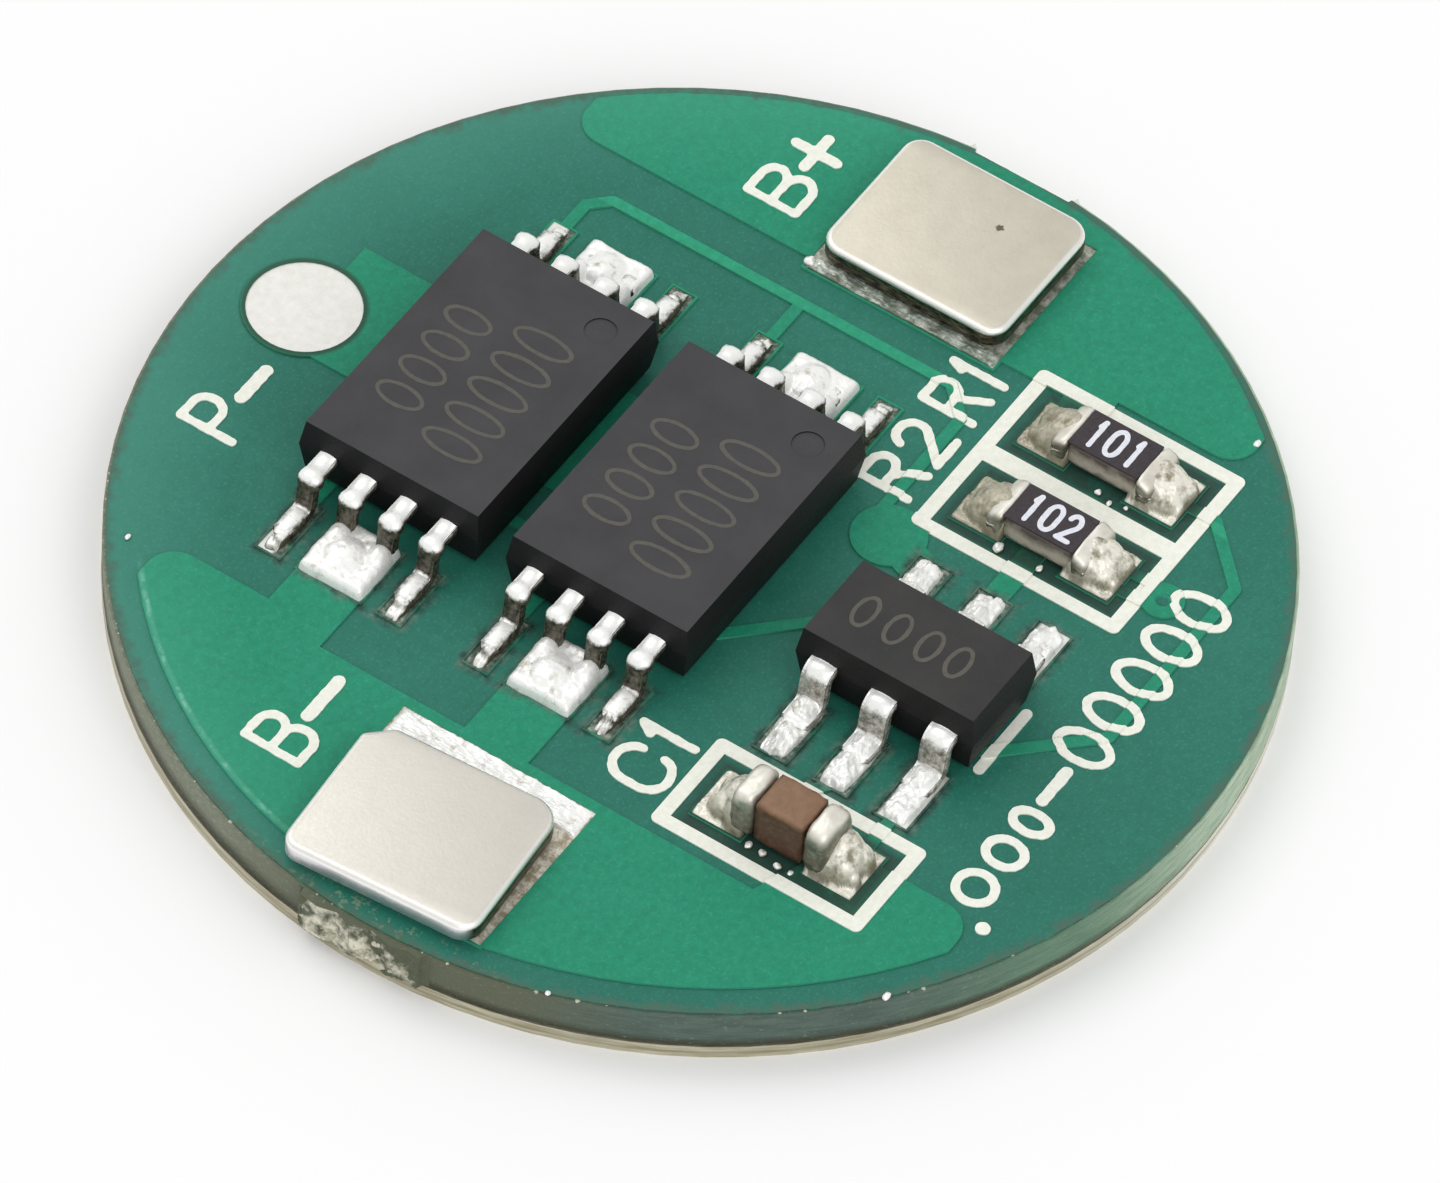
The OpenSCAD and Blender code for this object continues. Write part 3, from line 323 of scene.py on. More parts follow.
def laminate_look():
    """Cut edge of glass-fibre laminate, with thin streaks along its plies and painted light: dark olive at one
    side of the board, paler and greener at the other, a tan tone on the +Y side, a painted highlight at +X and
    painted shade at its foot."""
    look = Look("laminate_edge", (86, 92, 76), 0.6, specular=0.3)
    plies = look.noise(0.5, stretch=(1, 1, 9))
    fine = look.noise(0.09, 3, 0.7, (1, 1, 3))
    x, z = look.axis("X"), look.axis("Z")
    streaks = look.ramp(plies, 0.35, 0.65)
    look.base = (92, 98, 78)
    # Painted light: the edge's tone changes round the board, shaded dark at -X and lit paler and greener
    # towards +X.
    look.paint((x, -7.7, -7.1), look.mix(streaks, (70, 90, 82), (86, 106, 96)))
    look.paint((x, -5.0, -2.9), look.mix(streaks, (88, 122, 100), (104, 138, 114)))
    look.paint((x, -2.4, 0.2), look.mix(streaks, (150, 172, 146), (186, 206, 182)))
    # Painted light: a tan tone on the +Y side, darker at its bottom as painted shade.
    left = look.mix((fine, 0.4, 0.65), (112, 118, 100), (138, 146, 126))
    left = look.mix((z, LOW[2] + 0.1, LOW[2] + 0.3, 0.85, 0.0), left, (64, 66, 48))
    look.paint((look.axis("Y"), 0.5, 2.5), left)
    # Painted shade: a darker foot above the joint on the -X half.
    foot = look.times((z, LOW[2] + 0.03, LOW[2] + 0.15, 0.85, 0.0), (x, -3.0, 0.0, 1.0, 0.0))
    look.paint(foot, (50, 52, 34))
    look.paint((fine, 0.6, 0.8, 0.0, 0.5), (190, 192, 168))
    # Painted highlight: a pale band at the +X extreme of the edge.
    look.paint((x, BOARD_R - 0.1, BOARD_R - 0.04), (226, 228, 216))
    return look.finish(look.add(fine, plies), 0.02, grain=fine, rough=(0.45, 0.75))


def torn_look():
    """Torn laminate: cream lumps over dark olive, darker towards one end of the break."""
    look = Look("torn_laminate", (150, 148, 120), 0.6)
    side = look.add((look.axis("Y"), -0.5, -0.15, 0.1, 0.0),
                    (look.distance("Y", -0.02), 0.78, 0.95, 0.0, 0.3))
    lift = look.ramp(look.axis("Z"), LOW[2] + 0.2, HIGH[2], 0.0, 0.12)
    lumps = look.minus(look.minus(look.noise(0.22, 5), side), lift)
    look.base = look.mix((lumps, 0.34, 0.58), (76, 82, 58), (222, 218, 198))
    return look.finish(look.noise(0.06, 3, 0.7), 0.015, 0.9, lumps, (0.45, 0.7))


def contact_look():
    """Plated steel contact: beige, with lengthwise drawing lines, and painted light that makes it darker
    towards -X and brighter towards the positive (+X) side.
    """
    look = Look("contact_plate", (196, 190, 168), 0.4, metallic=0.6)
    lines = look.noise(0.7, stretch=(1, 1, 16))
    bands = look.ramp(lines, 0.35, 0.65)
    # Painted light: shaded tones at -X, lit ones at +X.
    left = look.mix(bands, (168, 160, 134), (206, 202, 178))
    right = look.mix(bands, (226, 224, 208), (248, 248, 238))
    look.base = look.mix((look.axis("X"), -3.5, 2.0), left, right)
    # A dark band round the contact's side, 0.1 mm up from its bottom.
    dark_band = look.ramp(look.distance("Z", 0.1), 0.015, 0.035, 0.4, 0.0)
    look.paint(dark_band, (122, 112, 90))
    return look.finish(lines, 0.006, grain=lines, rough=(0.32, 0.5))


def tin_look():
    """Tin on the lands: pale grey, dull and stained beside the cell tabs, with residue at the lands' ends."""
    look = Look("tinned_land", (238, 236, 230), 0.5, metallic=0.3)
    fine = look.noise(0.12, 4, 0.65)
    across, along = look.distance("X", 0), look.distance("Y", 0)
    look.base = look.mix((fine, 0.3, 0.75), (231, 230, 223), (245, 244, 239))
    stained = look.mix((look.noise(0.2, 4, 0.7), 0.4, 0.6), (122, 130, 112), (210, 212, 198))
    warm = look.mix((look.noise(0.16, 4, 0.7), 0.4, 0.6), (164, 152, 126), (240, 236, 222))
    stained = look.mix((look.axis("X"), -0.5, 0.5, 1.0, 0.0), stained, warm)
    look.paint((across, 4.55, 4.6), stained)
    residue = look.mix((look.noise(0.1, 4, 0.7), 0.45, 0.65), (70, 88, 76), (150, 162, 146))
    away = look.math("MAXIMUM", look.times(across, 0.98), along)
    look.paint((away, 4.5, 4.45), residue)
    return look.finish(fine, 0.006)


def nickel_look():
    """Nickel strip: satin warm grey on top, a painted highlight along its rounded edge, dark down its sides as
    painted reflection, with a small pit in the positive tab."""
    look = Look("nickel_tab", (204, 199, 184), 0.42, metallic=1.0)
    fine, wide, up, x = look.noise(0.05, 4, 0.65), look.noise(0.35), look.facing_up(), look.axis("X")
    top = look.mix((wide, 0.3, 0.7), (221, 215, 199), (214, 208, 192))
    top = look.mix((look.noise(0.12, 4, 0.7), 0.62, 0.78, 0.0, 0.5), top, (186, 178, 158))
    top = look.mix((x, -1.0, 1.0, 0.6, 0.0), top, (226, 223, 217))
    # Painted reflection: the upright sides are dark and streaked, for the dark surroundings they face.
    side = look.mix((look.noise(0.14, 3, 0.7, (1, 1, 4)), 0.4, 0.65), (46, 40, 30), (140, 130, 108))
    # Painted highlight: the negative tab's -X side is bright.
    side = look.mix((x, -7.55, -7.45, 1.0, 0.0), side, (238, 234, 240))
    # Painted highlight: faces between upright and flat, the rounded edge, are near white.
    look.base = look.mix((up, 0.1, 0.3), side, (255, 254, 248))
    look.paint((up, 0.93, 0.995), top)
    pit = look.add(look.distance("X", PIT[0]), look.distance("Y", PIT[1]))
    pit = look.add(pit, (look.noise(0.06, 2), 0.3, 0.7, -0.05, 0.05))
    look.paint((pit, 0.03, 0.07, 0.85, 0.0), (84, 74, 58))
    return look.finish(look.add(fine, look.times(wide, 1.2)), 0.0022, grain=fine, rough=(0.36, 0.48))


# ---------- materials of the small parts, their leads and their solder ----------

def epoxy_look(name, color, light, side):
    """Moulded epoxy: near black, with a fine speckle of filler, a satin top, a painted highlight along its top
    edges and painted shade on its sides.
    """
    look = Look(name, color, 0.55, specular=0.25)
    speck, up = look.noise(0.035, 3, 0.75), look.facing_up()
    look.paint((look.noise(0.9, 4), 0.3, 0.7), light)
    look.paint((speck, 0.58, 0.72, 0.0, 0.3), (92, 90, 93))
    # Painted highlight: the faces where the top turns down are lighter.
    look.paint((up, 0.995, 0.93), (104, 100, 102))
    # Painted shade: the upright sides take the darker `side` colour.
    look.paint((up, 0.45, 0.25), side)
    return look.finish(speck, 0.006, 0.7, speck, (0.45, 0.67))


def lead_look(name, dark, pale, foot):
    """Tinned lead: painted light, bright on its up-facing shoulder and foot, with painted shade down the leg
    between them; `foot` is how much narrower the painted bright part of the foot is than the shoulder's."""
    look = Look(name, (250, 250, 246), 0.3, metallic=0.3)
    up = look.add(look.facing_up(), (look.noise(0.12, 3, 0.7), 0.3, 0.7, -0.15, 0.15))
    up = look.minus(up, (look.axis("Z"), Z_SEAT + 0.18, Z_SEAT + 0.4, foot, 0.0))
    # Painted shade for the leaning leg, mottled; faces that look up get a painted highlight.
    painted_leg_shade = look.mix((look.noise(0.09, 3, 0.7), 0.35, 0.65), dark, pale)
    look.base = look.mix((up, 0.3, 0.6), painted_leg_shade, (255, 255, 252))
    return look.finish(look.noise(0.09), 0.005, 0.7, look.noise(0.06), (0.2, 0.42))


def solder_look(name, light, dark, share, slope, ends=None):
    """Hand-worked solder: bright and half glossy, with dull brownish creases; `share` sets how few they are,
    `slope` how far a side has to lean before it is painted dark as painted shade, and `ends` the colour of
    flux-brown far ends."""
    look = Look(name, light, 0.3, metallic=0.25)
    crease = look.noise(0.24, 5, 0.65)
    look.paint((crease, share - 0.06, share + 0.1, 0.0, 0.9), dark)
    look.paint((look.noise(0.05, 3, 0.7), 0.6, 0.75, 0.0, 0.4), dark)
    if ends:
        far = look.times((look.axis("Y"), CHIP_Y, CHIP_Y + 0.2), (look.axis("X"), 0.0, 0.1))
        look.paint(look.times(far, (crease, 0.35, 0.6, 0.9, 0.4)), ends)
    # Painted shade: faces that lean take the dark colour.
    look.paint((look.facing_up(), *slope[::-1]), dark)
    return look.finish(look.noise(0.08), 0.008, 0.7, look.noise(0.1), (0.2, 0.45))


def alumina_look():
    """A chip's body: dark along its top edge, where the coat's print runs over, paler lower down, and darker at
    its very foot as painted shade.
    """
    look = Look("alumina", (184, 176, 162), 0.45)
    low, high = box_mm("r1_substrate")
    fade = look.add(look.axis("Z"), (look.noise(0.2), 0.3, 0.7, -0.05, 0.05))
    look.paint((fade, high[2] - 0.2, high[2] - 0.03), (84, 74, 68))
    # Painted shade: darker at the very foot, where the body meets the board.
    look.paint((fade, low[2] + 0.02, low[2] + 0.1, 0.7, 0.0), (60, 54, 44))
    return look.finish(look.noise(0.06), 0.004, 0.7)


def sided_look(name, color, low, side, size, metallic=0.0):
    """A glossy body whose upright sides are painted darker than its top, as painted shade."""
    look = Look(name, color, 0.38, metallic=metallic)
    fine = look.noise(size, 4, 0.65)
    top = look.mix((fine, 0.3, 0.75), low, color)
    side = look.mix((look.noise(size, 3, 0.7), 0.45, 0.75, 0.0, 0.6), side, low)
    # Painted shade: upright faces take the darker side colour, faces that look up the top's.
    look.base = look.mix((look.facing_up(), 0.1, 0.8), side, top)
    return look.finish(fine, 0.006, grain=fine, rough=(0.34, 0.5))


def plain_look(name, color, dark, roughness, size=0.1, depth=0.003, metallic=0.0):
    look = Look(name, color, roughness, metallic)
    fine = look.noise(size, 4, 0.65)
    look.paint((fine, 0.75, 0.3), dark)
    return look.finish(fine, depth, grain=fine, rough=(roughness - 0.08, roughness + 0.1))


MASK = mask_look()
LAMINATE = laminate_look()
TORN = torn_look()
FIBRE = plain_look("torn_fibre", (224, 222, 204), (164, 162, 136), 0.5, 0.12, 0.006)
CONTACT = contact_look()
JOINT = plain_look("joint_line", (70, 62, 44), (40, 36, 24), 0.6)
COPPER = plain_look("copper_foil", (196, 130, 92), (180, 112, 76), 0.35, 0.2, 0.004, metallic=1.0)
TIN = tin_look()
INK = plain_look("legend_ink", (252, 252, 243), (234, 236, 222), 0.6, 0.08, 0.006)
NICKEL = nickel_look()
# The last colour of each epoxy is the painted shade of its sides.
EPOXY = epoxy_look("epoxy_black", (61, 60, 62), (70, 69, 71), (26, 24, 26))
SMALL_EPOXY = epoxy_look("epoxy_controller", (52, 51, 51), (61, 60, 59), (28, 26, 27))
MARKED = plain_look("laser_mark", (96, 92, 82), (76, 74, 70), 0.6, 0.06, 0.002)
SILICON = plain_look("silicon", (96, 98, 104), (70, 72, 78), 0.3)
# The two colours of each lead are the painted shade of its leg.
LEAD = lead_look("lead_tin", (30, 27, 20), (104, 98, 82), 0.35)
WIDE_LEAD = lead_look("wide_lead_tin", (112, 107, 96), (206, 203, 194), 0.15)
SOLDER = solder_look("solder_metal", (255, 255, 252), (176, 166, 140), 0.62, (0.0, 0.25))
FOOT_SOLDER = solder_look("foot_solder", (250, 250, 244), (84, 82, 66), 0.6, (0.5, 0.92))
DULL_SOLDER = solder_look("dull_solder", (206, 212, 202), (112, 124, 108), 0.45, (0.1, 0.6))
FLUXED_SOLDER = solder_look("fluxed_solder", (244, 240, 226), (132, 124, 102), 0.55, (0.1, 0.6),
                            (142, 134, 104))
# The third colour of a sided look is the painted shade of its upright sides.
TERMINAL = sided_look("chip_terminal", (255, 253, 246), (224, 218, 202), (112, 108, 94), 0.35, 0.6)
ALUMINA = alumina_look()
GLAZE = plain_look("overcoat_glaze", (56, 47, 53), (40, 33, 37), 0.34, 0.06, 0.003)
VALUE_INK = plain_look("value_ink", (242, 243, 250), (218, 220, 230), 0.6, 0.06, 0.004)
CERAMIC = sided_look("capacitor_brown", (142, 110, 82), (126, 94, 70), (80, 52, 36), 0.1)


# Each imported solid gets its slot's material, and the controller's leads and moulding their own
OF_SLOT = {"mask": MASK, "laminate": LAMINATE, "contact": CONTACT, "joint": JOINT, "copper": COPPER, "tin": TIN,
           "ink": INK, "tab": NICKEL, "solder": DULL_SOLDER, "lead": LEAD, "epoxy": EPOXY, "silicon": SILICON,
           "alumina": ALUMINA, "glaze": GLAZE, "capacitor": CERAMIC}
OF_CONTROLLER = {"lead": WIDE_LEAD, "epoxy": SMALL_EPOXY}


def dress_solids():
    for row in frame["record"]["subparts"]:
        node, slot = row["node"], row["material_slot"]
        look = OF_CONTROLLER.get(slot) if node.startswith("controller") else None
        data = NODE[node].data
        data.materials.clear()
        data.materials.append((look or OF_SLOT[slot]).mat)


dress_solids()


# ---------- mesh helpers, in millimetres ----------

def add_mesh(name, parts, look, smooth=True, replaces=()):
    """A piece from parts, each a list of points in millimetres and its faces.

    It rides the board, takes its look's material and stands for the named nodes.
    """
    verts, faces = [], []
    for points, polygons in parts:
        faces.extend([len(verts) + int(i) for i in face] for face in polygons)
        verts.extend((np.array(points, float) * MM).tolist())
    mesh = bpy.data.meshes.new(name)
    mesh.from_pydata(verts, [], faces)
    mesh.materials.append(look.mat)
    mesh.validate()
    if smooth:
        mesh.shade_smooth()
    piece = new_object(name, mesh)
    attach(piece, ROOT)
    if replaces:
        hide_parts(*replaces)


def grid_faces(rows, columns, closed=True, flip=False):
    """Quads between rows of points; closed joins each row's last point to its first."""
    faces = []
    for i in range(rows - 1):
        for j in range(columns if closed else columns - 1):
            k = (j + 1) % columns
            a, b, c, d = i * columns + j, (i + 1) * columns + j, (i + 1) * columns + k, i * columns + k
            faces.append((a, d, c, b) if flip else (a, b, c, d))
    return faces


def lattice(x, y, size, seed, octaves=3, gain=0.55):
    """Smooth seeded noise from -1 to 1 over arrays of x and y, its blobs about `size` mm across."""
    rng = np.random.default_rng(seed)
    total, weight, amount = np.zeros(np.shape(x)), 0.0, 1.0
    for _ in range(octaves):
        table = rng.uniform(-1, 1, (64, 64))
        u, v = np.asarray(x) / size + 17.3, np.asarray(y) / size + 9.1
        i, j = np.floor(u).astype(int), np.floor(v).astype(int)
        fu, fv = u - i, v - j
        fu, fv = fu * fu * (3 - 2 * fu), fv * fv * (3 - 2 * fv)
        corner = [table[(i + a) % 64, (j + b) % 64] for a in (0, 1) for b in (0, 1)]
        low = corner[0] * (1 - fv) + corner[1] * fv
        high = corner[2] * (1 - fv) + corner[3] * fv
        total = total + amount * (low * (1 - fu) + high * fu)
        weight += amount
        amount *= gain
        size *= 0.5
    return total / weight


# How a pool is made: points along a side, depth and size of its crinkles, unevenness of its outline, how square
# that is, and the share of it that its rounded edge takes
Form = namedtuple("Form", "n crinkle grain wobble square edge")
OUTER_FOOT = Form(28, 0.05, 0.15, 0.1, 5, 0.3)
MIDDLE_FEET = Form(52, 0.045, 0.36, 0.03, 16, 0.2)
WIDE_FOOT = Form(36, 0.09, 0.16, 0.1, 6, 0.25)
CHIP_END = Form(56, 0.055, 0.22, 0.012, 14, 0.14)
STRIP = Form(90, 0.04, 0.12, 0.0, 20, 0.12)


def pool(centre, size, height, seed, form, bumps=(), sink=0.004):
    """A pool of solder over a land: a rounded rectangle that rises from its edge to `height`, crinkled on top.
    Each bump is (x, y, radius x, radius y, height) about the centre, and the pool rises to the highest."""
    n, crinkle, grain, wobble, square, edge = form
    u, v = np.meshgrid(np.linspace(-1, 1, n), np.linspace(-1, 1, n), indexing="ij")
    t = np.maximum(abs(u), abs(v))
    safe = np.where(t == 0, 1, t)
    du, dv = u / safe, v / safe
    reach = (abs(du) ** square + abs(dv) ** square) ** (-1 / square)
    angle = np.arctan2(dv, du)
    ripple = 1 + wobble * lattice(np.cos(angle) * 2, np.sin(angle) * 2, 0.9, seed + 5, 2)
    x, y = t * du * reach * ripple * size[0] / 2, t * dv * reach * ripple * size[1] / 2
    rise = np.clip((1 - t) / edge, 0, 1)
    rise = np.sqrt(np.clip(1 - (1 - rise) ** 2, 0, 1))
    z = height * rise
    for bx, by, rx, ry, bh in bumps:
        d = ((x - bx) / rx) ** 2 + ((y - by) / ry) ** 2
        z = np.maximum(z, bh * np.sqrt(np.clip(1 - d, 0, 1)) * np.clip(rise * 1.6, 0, 1))
    z = z + crinkle * lattice(x, y, grain, seed, 4, 0.65) * np.clip(rise * 1.5, 0, 1)
    z = np.maximum(z, 0.004) * (t < 1) + Z_SEAT - sink
    top = np.stack([centre[0] + x, centre[1] + y, z], -1).reshape(-1, 3)
    return top, grid_faces(n, n, closed=False)


def land_at(x, y):
    """The middle and size of the bare land that holds a point."""
    for low, high in LANDS:
        if low[0] - 0.02 <= x <= high[0] + 0.02 and low[1] - 0.02 <= y <= high[1] + 0.02:
            return (low + high)[:2] / 2, (high - low)[:2]
    raise ValueError("no land at %.2f, %.2f" % (x, y))


def directions(rings, turns, shift=0.0):
    """Unit vectors all round, ring by ring from the top down."""
    for i in range(rings + 1):
        a = pi * i / rings
        for j in range(turns):
            b = 2 * pi * (j + shift) / turns
            yield np.array([sin(a) * cos(b), sin(a) * sin(b), cos(a)])


def blob(centre, radius, seed, squash=(1, 1, 1), uneven=0.12):
    """A small rough ball."""
    rings, turns = 10, 14
    phase = np.random.default_rng(seed).uniform(0, 6, 6)
    verts = []
    for d in directions(rings, turns):
        r = radius * (1 + uneven * (sin(3 * d[0] + phase[0]) * sin(4 * d[1] + phase[1])
                                    + 0.6 * sin(7 * d[2] + phase[2]) * sin(6 * d[0] + phase[3])))
        verts.append(np.array(centre) + d * r * np.array(squash))
    return verts, grid_faces(rings + 1, turns)


def lump(low, high, seed, square, rough, drop, end):
    """A rounded, uneven block between two corners; its top falls by `drop` towards the end along Y."""
    rings, turns = 26, 36
    centre, half = (low + high) / 2, (high - low) / 2
    verts = []
    for d in directions(rings, turns, 0.5):
        p = half * d * (abs(d) ** square).sum() ** (-1 / square)
        p *= 1 + rough * float(lattice(p[0] + 3 * p[2], p[1] + 2 * p[2], 0.16, seed, 3, 0.6))
        if p[2] > 0:
            p[2] -= drop * np.clip((end * p[1] / half[1] + 1) / 2, 0, 1) ** 1.5
        verts.append(centre + p)
    return verts, grid_faces(rings + 1, turns)


def sweep(path, widths, heights):
    """A bar along a path in the XZ plane, y across, with a rounded section at each station."""
    side, square = 12, 3.0
    path = np.asarray(path, float)
    tangent = np.gradient(path, axis=0)
    tangent /= np.linalg.norm(tangent, axis=1)[:, None]
    normal = np.stack([-tangent[:, 1], tangent[:, 0]], -1)
    verts = []
    for (x, z), (nx, nz), w, h in zip(path, normal, widths, heights):
        for k in range(side):
            a = 2 * pi * (k + 0.5) / side
            c, s = cos(a), sin(a)
            r = (abs(c) ** square + abs(s) ** square) ** (-1 / square)
            off = s * r * h / 2
            verts.append((x + nx * off, c * r * w / 2, z + nz * off))
    n = len(path)
    ends = [range(side), range((n - 1) * side, n * side)[::-1]]
    return np.array(verts), grid_faces(n, side, flip=True) + ends


# ---------- printed marks: strokes laid over what they are printed on ----------

def arc_points(cx, cy, rx, ry, start, end, steps=10):
    turns = [radians(start + (end - start) * i / steps) for i in range(steps + 1)]
    return [(cx + rx * cos(a), cy + ry * sin(a)) for a in turns]


UPPER_BOWL = [(0, 1), (0.55, 1)] + arc_points(0.55, 0.76, 0.42, 0.24, 90, -90) + [(0, 0.52)]
TOP_ARC = arc_points(0.5, 0.68, 0.5, 0.32, 0, 180, 12)
LOW_ARC = arc_points(0.5, 0.32, 0.5, 0.32, 180, 360, 12)
GLYPHS = {
    "P": [[(0, 0), (0, 1)], [(0, 1), (0.6, 1)] + arc_points(0.6, 0.73, 0.4, 0.27, 90, -90) + [(0, 0.46)]],
    "B": [[(0, 0), (0, 1)], UPPER_BOWL, [(0, 0), (0.6, 0)] + arc_points(0.6, 0.26, 0.4, 0.26, -90, 90)],
    "C": [arc_points(0.5, 0.66, 0.5, 0.34, 8, 180) + arc_points(0.5, 0.34, 0.5, 0.34, 180, 352)],
    "R": [[(0, 0), (0, 1)], UPPER_BOWL, [(0.5, 0.52), (1, 0)]],
    "1": [[(0.1, 0.78), (0.62, 1), (0.62, 0)]],
    "2": [arc_points(0.5, 0.72, 0.46, 0.28, 165, -30) + [(0, 0), (1, 0)]],
    "0": [TOP_ARC + LOW_ARC + [(1, 0.68)]],
    "+": [[(0.5, 0), (0.5, 1)], [(0, 0.5), (1, 0.5)]],
    "-": [[(0, 0.5), (1, 0.5)]],
    "ring": [arc_points(0.5, 0.5, 0.5, 0.5, 0, 360, 28)],
    "dot": [[(0.5, 0.5), (0.501, 0.5)]],
}


def strokes_in(glyph, x0, x1, y0, y1, width, turn):
    """A glyph's strokes scaled into a box, its outline touching the box's sides; turn is in quarter turns."""
    out = []
    for line in GLYPHS[glyph]:
        points = []
        for u, v in line:
            for _ in range(turn):
                u, v = v, 1 - u
            points.append((x0 + width / 2 + u * (x1 - x0 - width), y0 + width / 2 + v * (y1 - y0 - width)))
        out.append(points)
    return out


def stroke_sheet(strokes, width, step, seed, rough):
    """The filled outline of round-ended strokes: flat polygons from a fine grid, with slightly uneven edges."""
    segments = np.array([(a, b) for line in strokes for a, b in zip(line, line[1:])], float)
    low = segments.reshape(-1, 2).min(0) - width
    high = segments.reshape(-1, 2).max(0) + width
    nx, ny = (np.ceil((high - low) / step).astype(int) + 1)
    gx, gy = np.meshgrid(low[0] + step * np.arange(nx), low[1] + step * np.arange(ny), indexing="ij")
    best = np.full(gx.shape, 9.0)
    for (ax, ay), (bx, by) in segments:
        dx, dy = bx - ax, by - ay
        t = np.clip(((gx - ax) * dx + (gy - ay) * dy) / max(dx * dx + dy * dy, 1e-12), 0, 1)
        best = np.minimum(best, np.hypot(gx - ax - t * dx, gy - ay - t * dy))
    field = width / 2 - best + rough * lattice(gx, gy, 0.09, seed, 2)
    inside = field > 0
    points, index = [], {}

    def point(key, x, y):
        if key not in index:
            index[key] = len(points)
            points.append((x, y))
        return index[key]

    def crossing(a, b):
        a, b = min(a, b), max(a, b)
        t = field[a] / (field[a] - field[b])
        return point((a, b), gx[a] + t * (gx[b] - gx[a]), gy[a] + t * (gy[b] - gy[a]))

    faces = []
    for i, j in np.argwhere(inside[:-1, :-1] | inside[1:, :-1] | inside[:-1, 1:] | inside[1:, 1:]):
        ring = [(i, j), (i + 1, j), (i + 1, j + 1), (i, j + 1)]
        face = []
        for a, b in zip(ring, ring[1:] + ring[:1]):
            if inside[a]:
                face.append(point(a, gx[a], gy[a]))
            if inside[a] != inside[b]:
                face.append(crossing(a, b))
        if len(face) > 2:
            faces.append(face)
    return np.array(points), faces


@cache
def surface_tree(name):
    """A node's faces, to drop points on."""
    data = NODE[name].data
    points = [tuple(v.co / MM) for v in data.vertices]
    return BVHTree.FromPolygons(points, [list(p.vertices) for p in data.polygons])


def drape(points, faces, tree, thick, base):
    """A sheet laid on what is under it, or on `base`, with a thin edge down all round."""
    hits = [tree.ray_cast(Vector((x, y, 5)), Vector((0, 0, -1)))[0] for x, y in points]
    heights = np.array([hit.z if hit else base for hit in hits])
    verts = np.column_stack([points, heights + thick]).tolist()
    sides = dict.fromkeys((a, b) for f in faces for a, b in zip(f, f[1:] + f[:1]))
    low = {}
    out = [list(f) for f in faces]
    for a, b in (side for side in sides if side[::-1] not in sides):
        for k in (a, b):
            if k not in low:
                low[k] = len(verts)
                verts.append([*points[k], heights[k] - 0.004])
        out.append([a, low[a], low[b], b])
    return verts, out


Print = namedtuple("Print", "step rough thick")
LEGEND = Print(0.03, 0.012, 0.02)
VALUE = Print(0.018, 0.006, 0.004)
LASER = Print(0.03, 0.008, 0.002)


def mark(kind, glyph, box, width, seed, node, base=0.0, turn=0):
    """One glyph in its box (x0, x1, y0, y1), printed on a node, or at the height `base` where that is open."""
    strokes = strokes_in(glyph, *box, width, turn)
    sheet = stroke_sheet(strokes, width, kind.step, seed, kind.rough)
    return drape(*sheet, surface_tree(node), kind.thick, base)


MARK_W = 0.13
DASH_W = 0.19
MARKS = [
    ("P", -2.42, -1.80, 5.95, 6.91, MARK_W), ("-", -1.73, -0.96, 6.26, 6.46, DASH_W),
    ("B", -6.41, -5.76, 2.08, 3.07, MARK_W), ("-", -5.71, -4.80, 2.40, 2.60, DASH_W),
    ("B", 5.38, 6.10, 2.06, 2.98, MARK_W), ("+", 6.145, 6.915, 2.09, 2.91, 0.163),
    ("C", -4.08, -3.36, -2.02, -1.06, MARK_W), ("1", -3.26, -2.91, -2.00, -1.06, MARK_W),
    ("R", 2.11, 2.74, -1.92, -1.01, MARK_W), ("2", 2.83, 3.46, -1.92, -1.01, MARK_W),
    ("R", 3.72, 4.32, -1.90, -0.96, MARK_W), ("1", 4.42, 4.70, -1.90, -0.96, MARK_W),
]
# A plain row of dot, open rings and dash near the rim
PLAIN_ROW = [("dot", -3.42, -3.20, -6.75, -6.53, 0.21), ("-", -1.15, -0.38, -6.21, -6.02, 0.17)]
PLAIN_ROW += [("ring", x0, x1, -6.53, -5.86, MARK_W)
              for x0, x1 in ((-3.12, -2.48), (-2.38, -1.80), (-1.70, -1.22))]
PLAIN_ROW += [("ring", -0.3 + 0.715 * k, 0.31 + 0.715 * k, -6.53, -5.62, MARK_W) for k in range(5)]


def add_marks():
    """The generic marks beside the tabs, the land and the chips, and the plain row."""
    for name, rows, seed in (("printed_marks", MARKS, 40), ("plain_mark_row", PLAIN_ROW, 80)):
        parts = [mark(LEGEND, glyph, box, width, seed + k, "solder_mask", Z_BOARD)
                 for k, (glyph, *box, width) in enumerate(rows)]
        add_mesh(name, parts, INK, smooth=False)


def add_digits():
    """The resistors' values, printed on their coats."""
    pitch, reach, width = 0.3, 0.27, 0.076
    parts = []
    for tag, value in (("r1", "101"), ("r2", "102")):
        cx, cy = middle_of(f"{tag}_overcoat")
        for k, digit in enumerate(value):
            y = cy + (1 - k) * pitch
            half = 0.07 if digit == "1" else 0.13
            box = (cx - reach, cx + reach, y - half, y + half)
            parts.append(mark(VALUE, digit, box, width, 120 + k, f"{tag}_overcoat", turn=1))
    add_mesh("resistor_values", parts, VALUE_INK, smooth=False)


# Rows of rings on a transistor's moulding: y of the row, ring height, first and last end along X, and count
LASER_ROWS = ((-0.41, 0.95, 1.15, -1.55, 5), (0.64, 0.75, 0.9, -1.25, 4))
LASER_W = 0.06


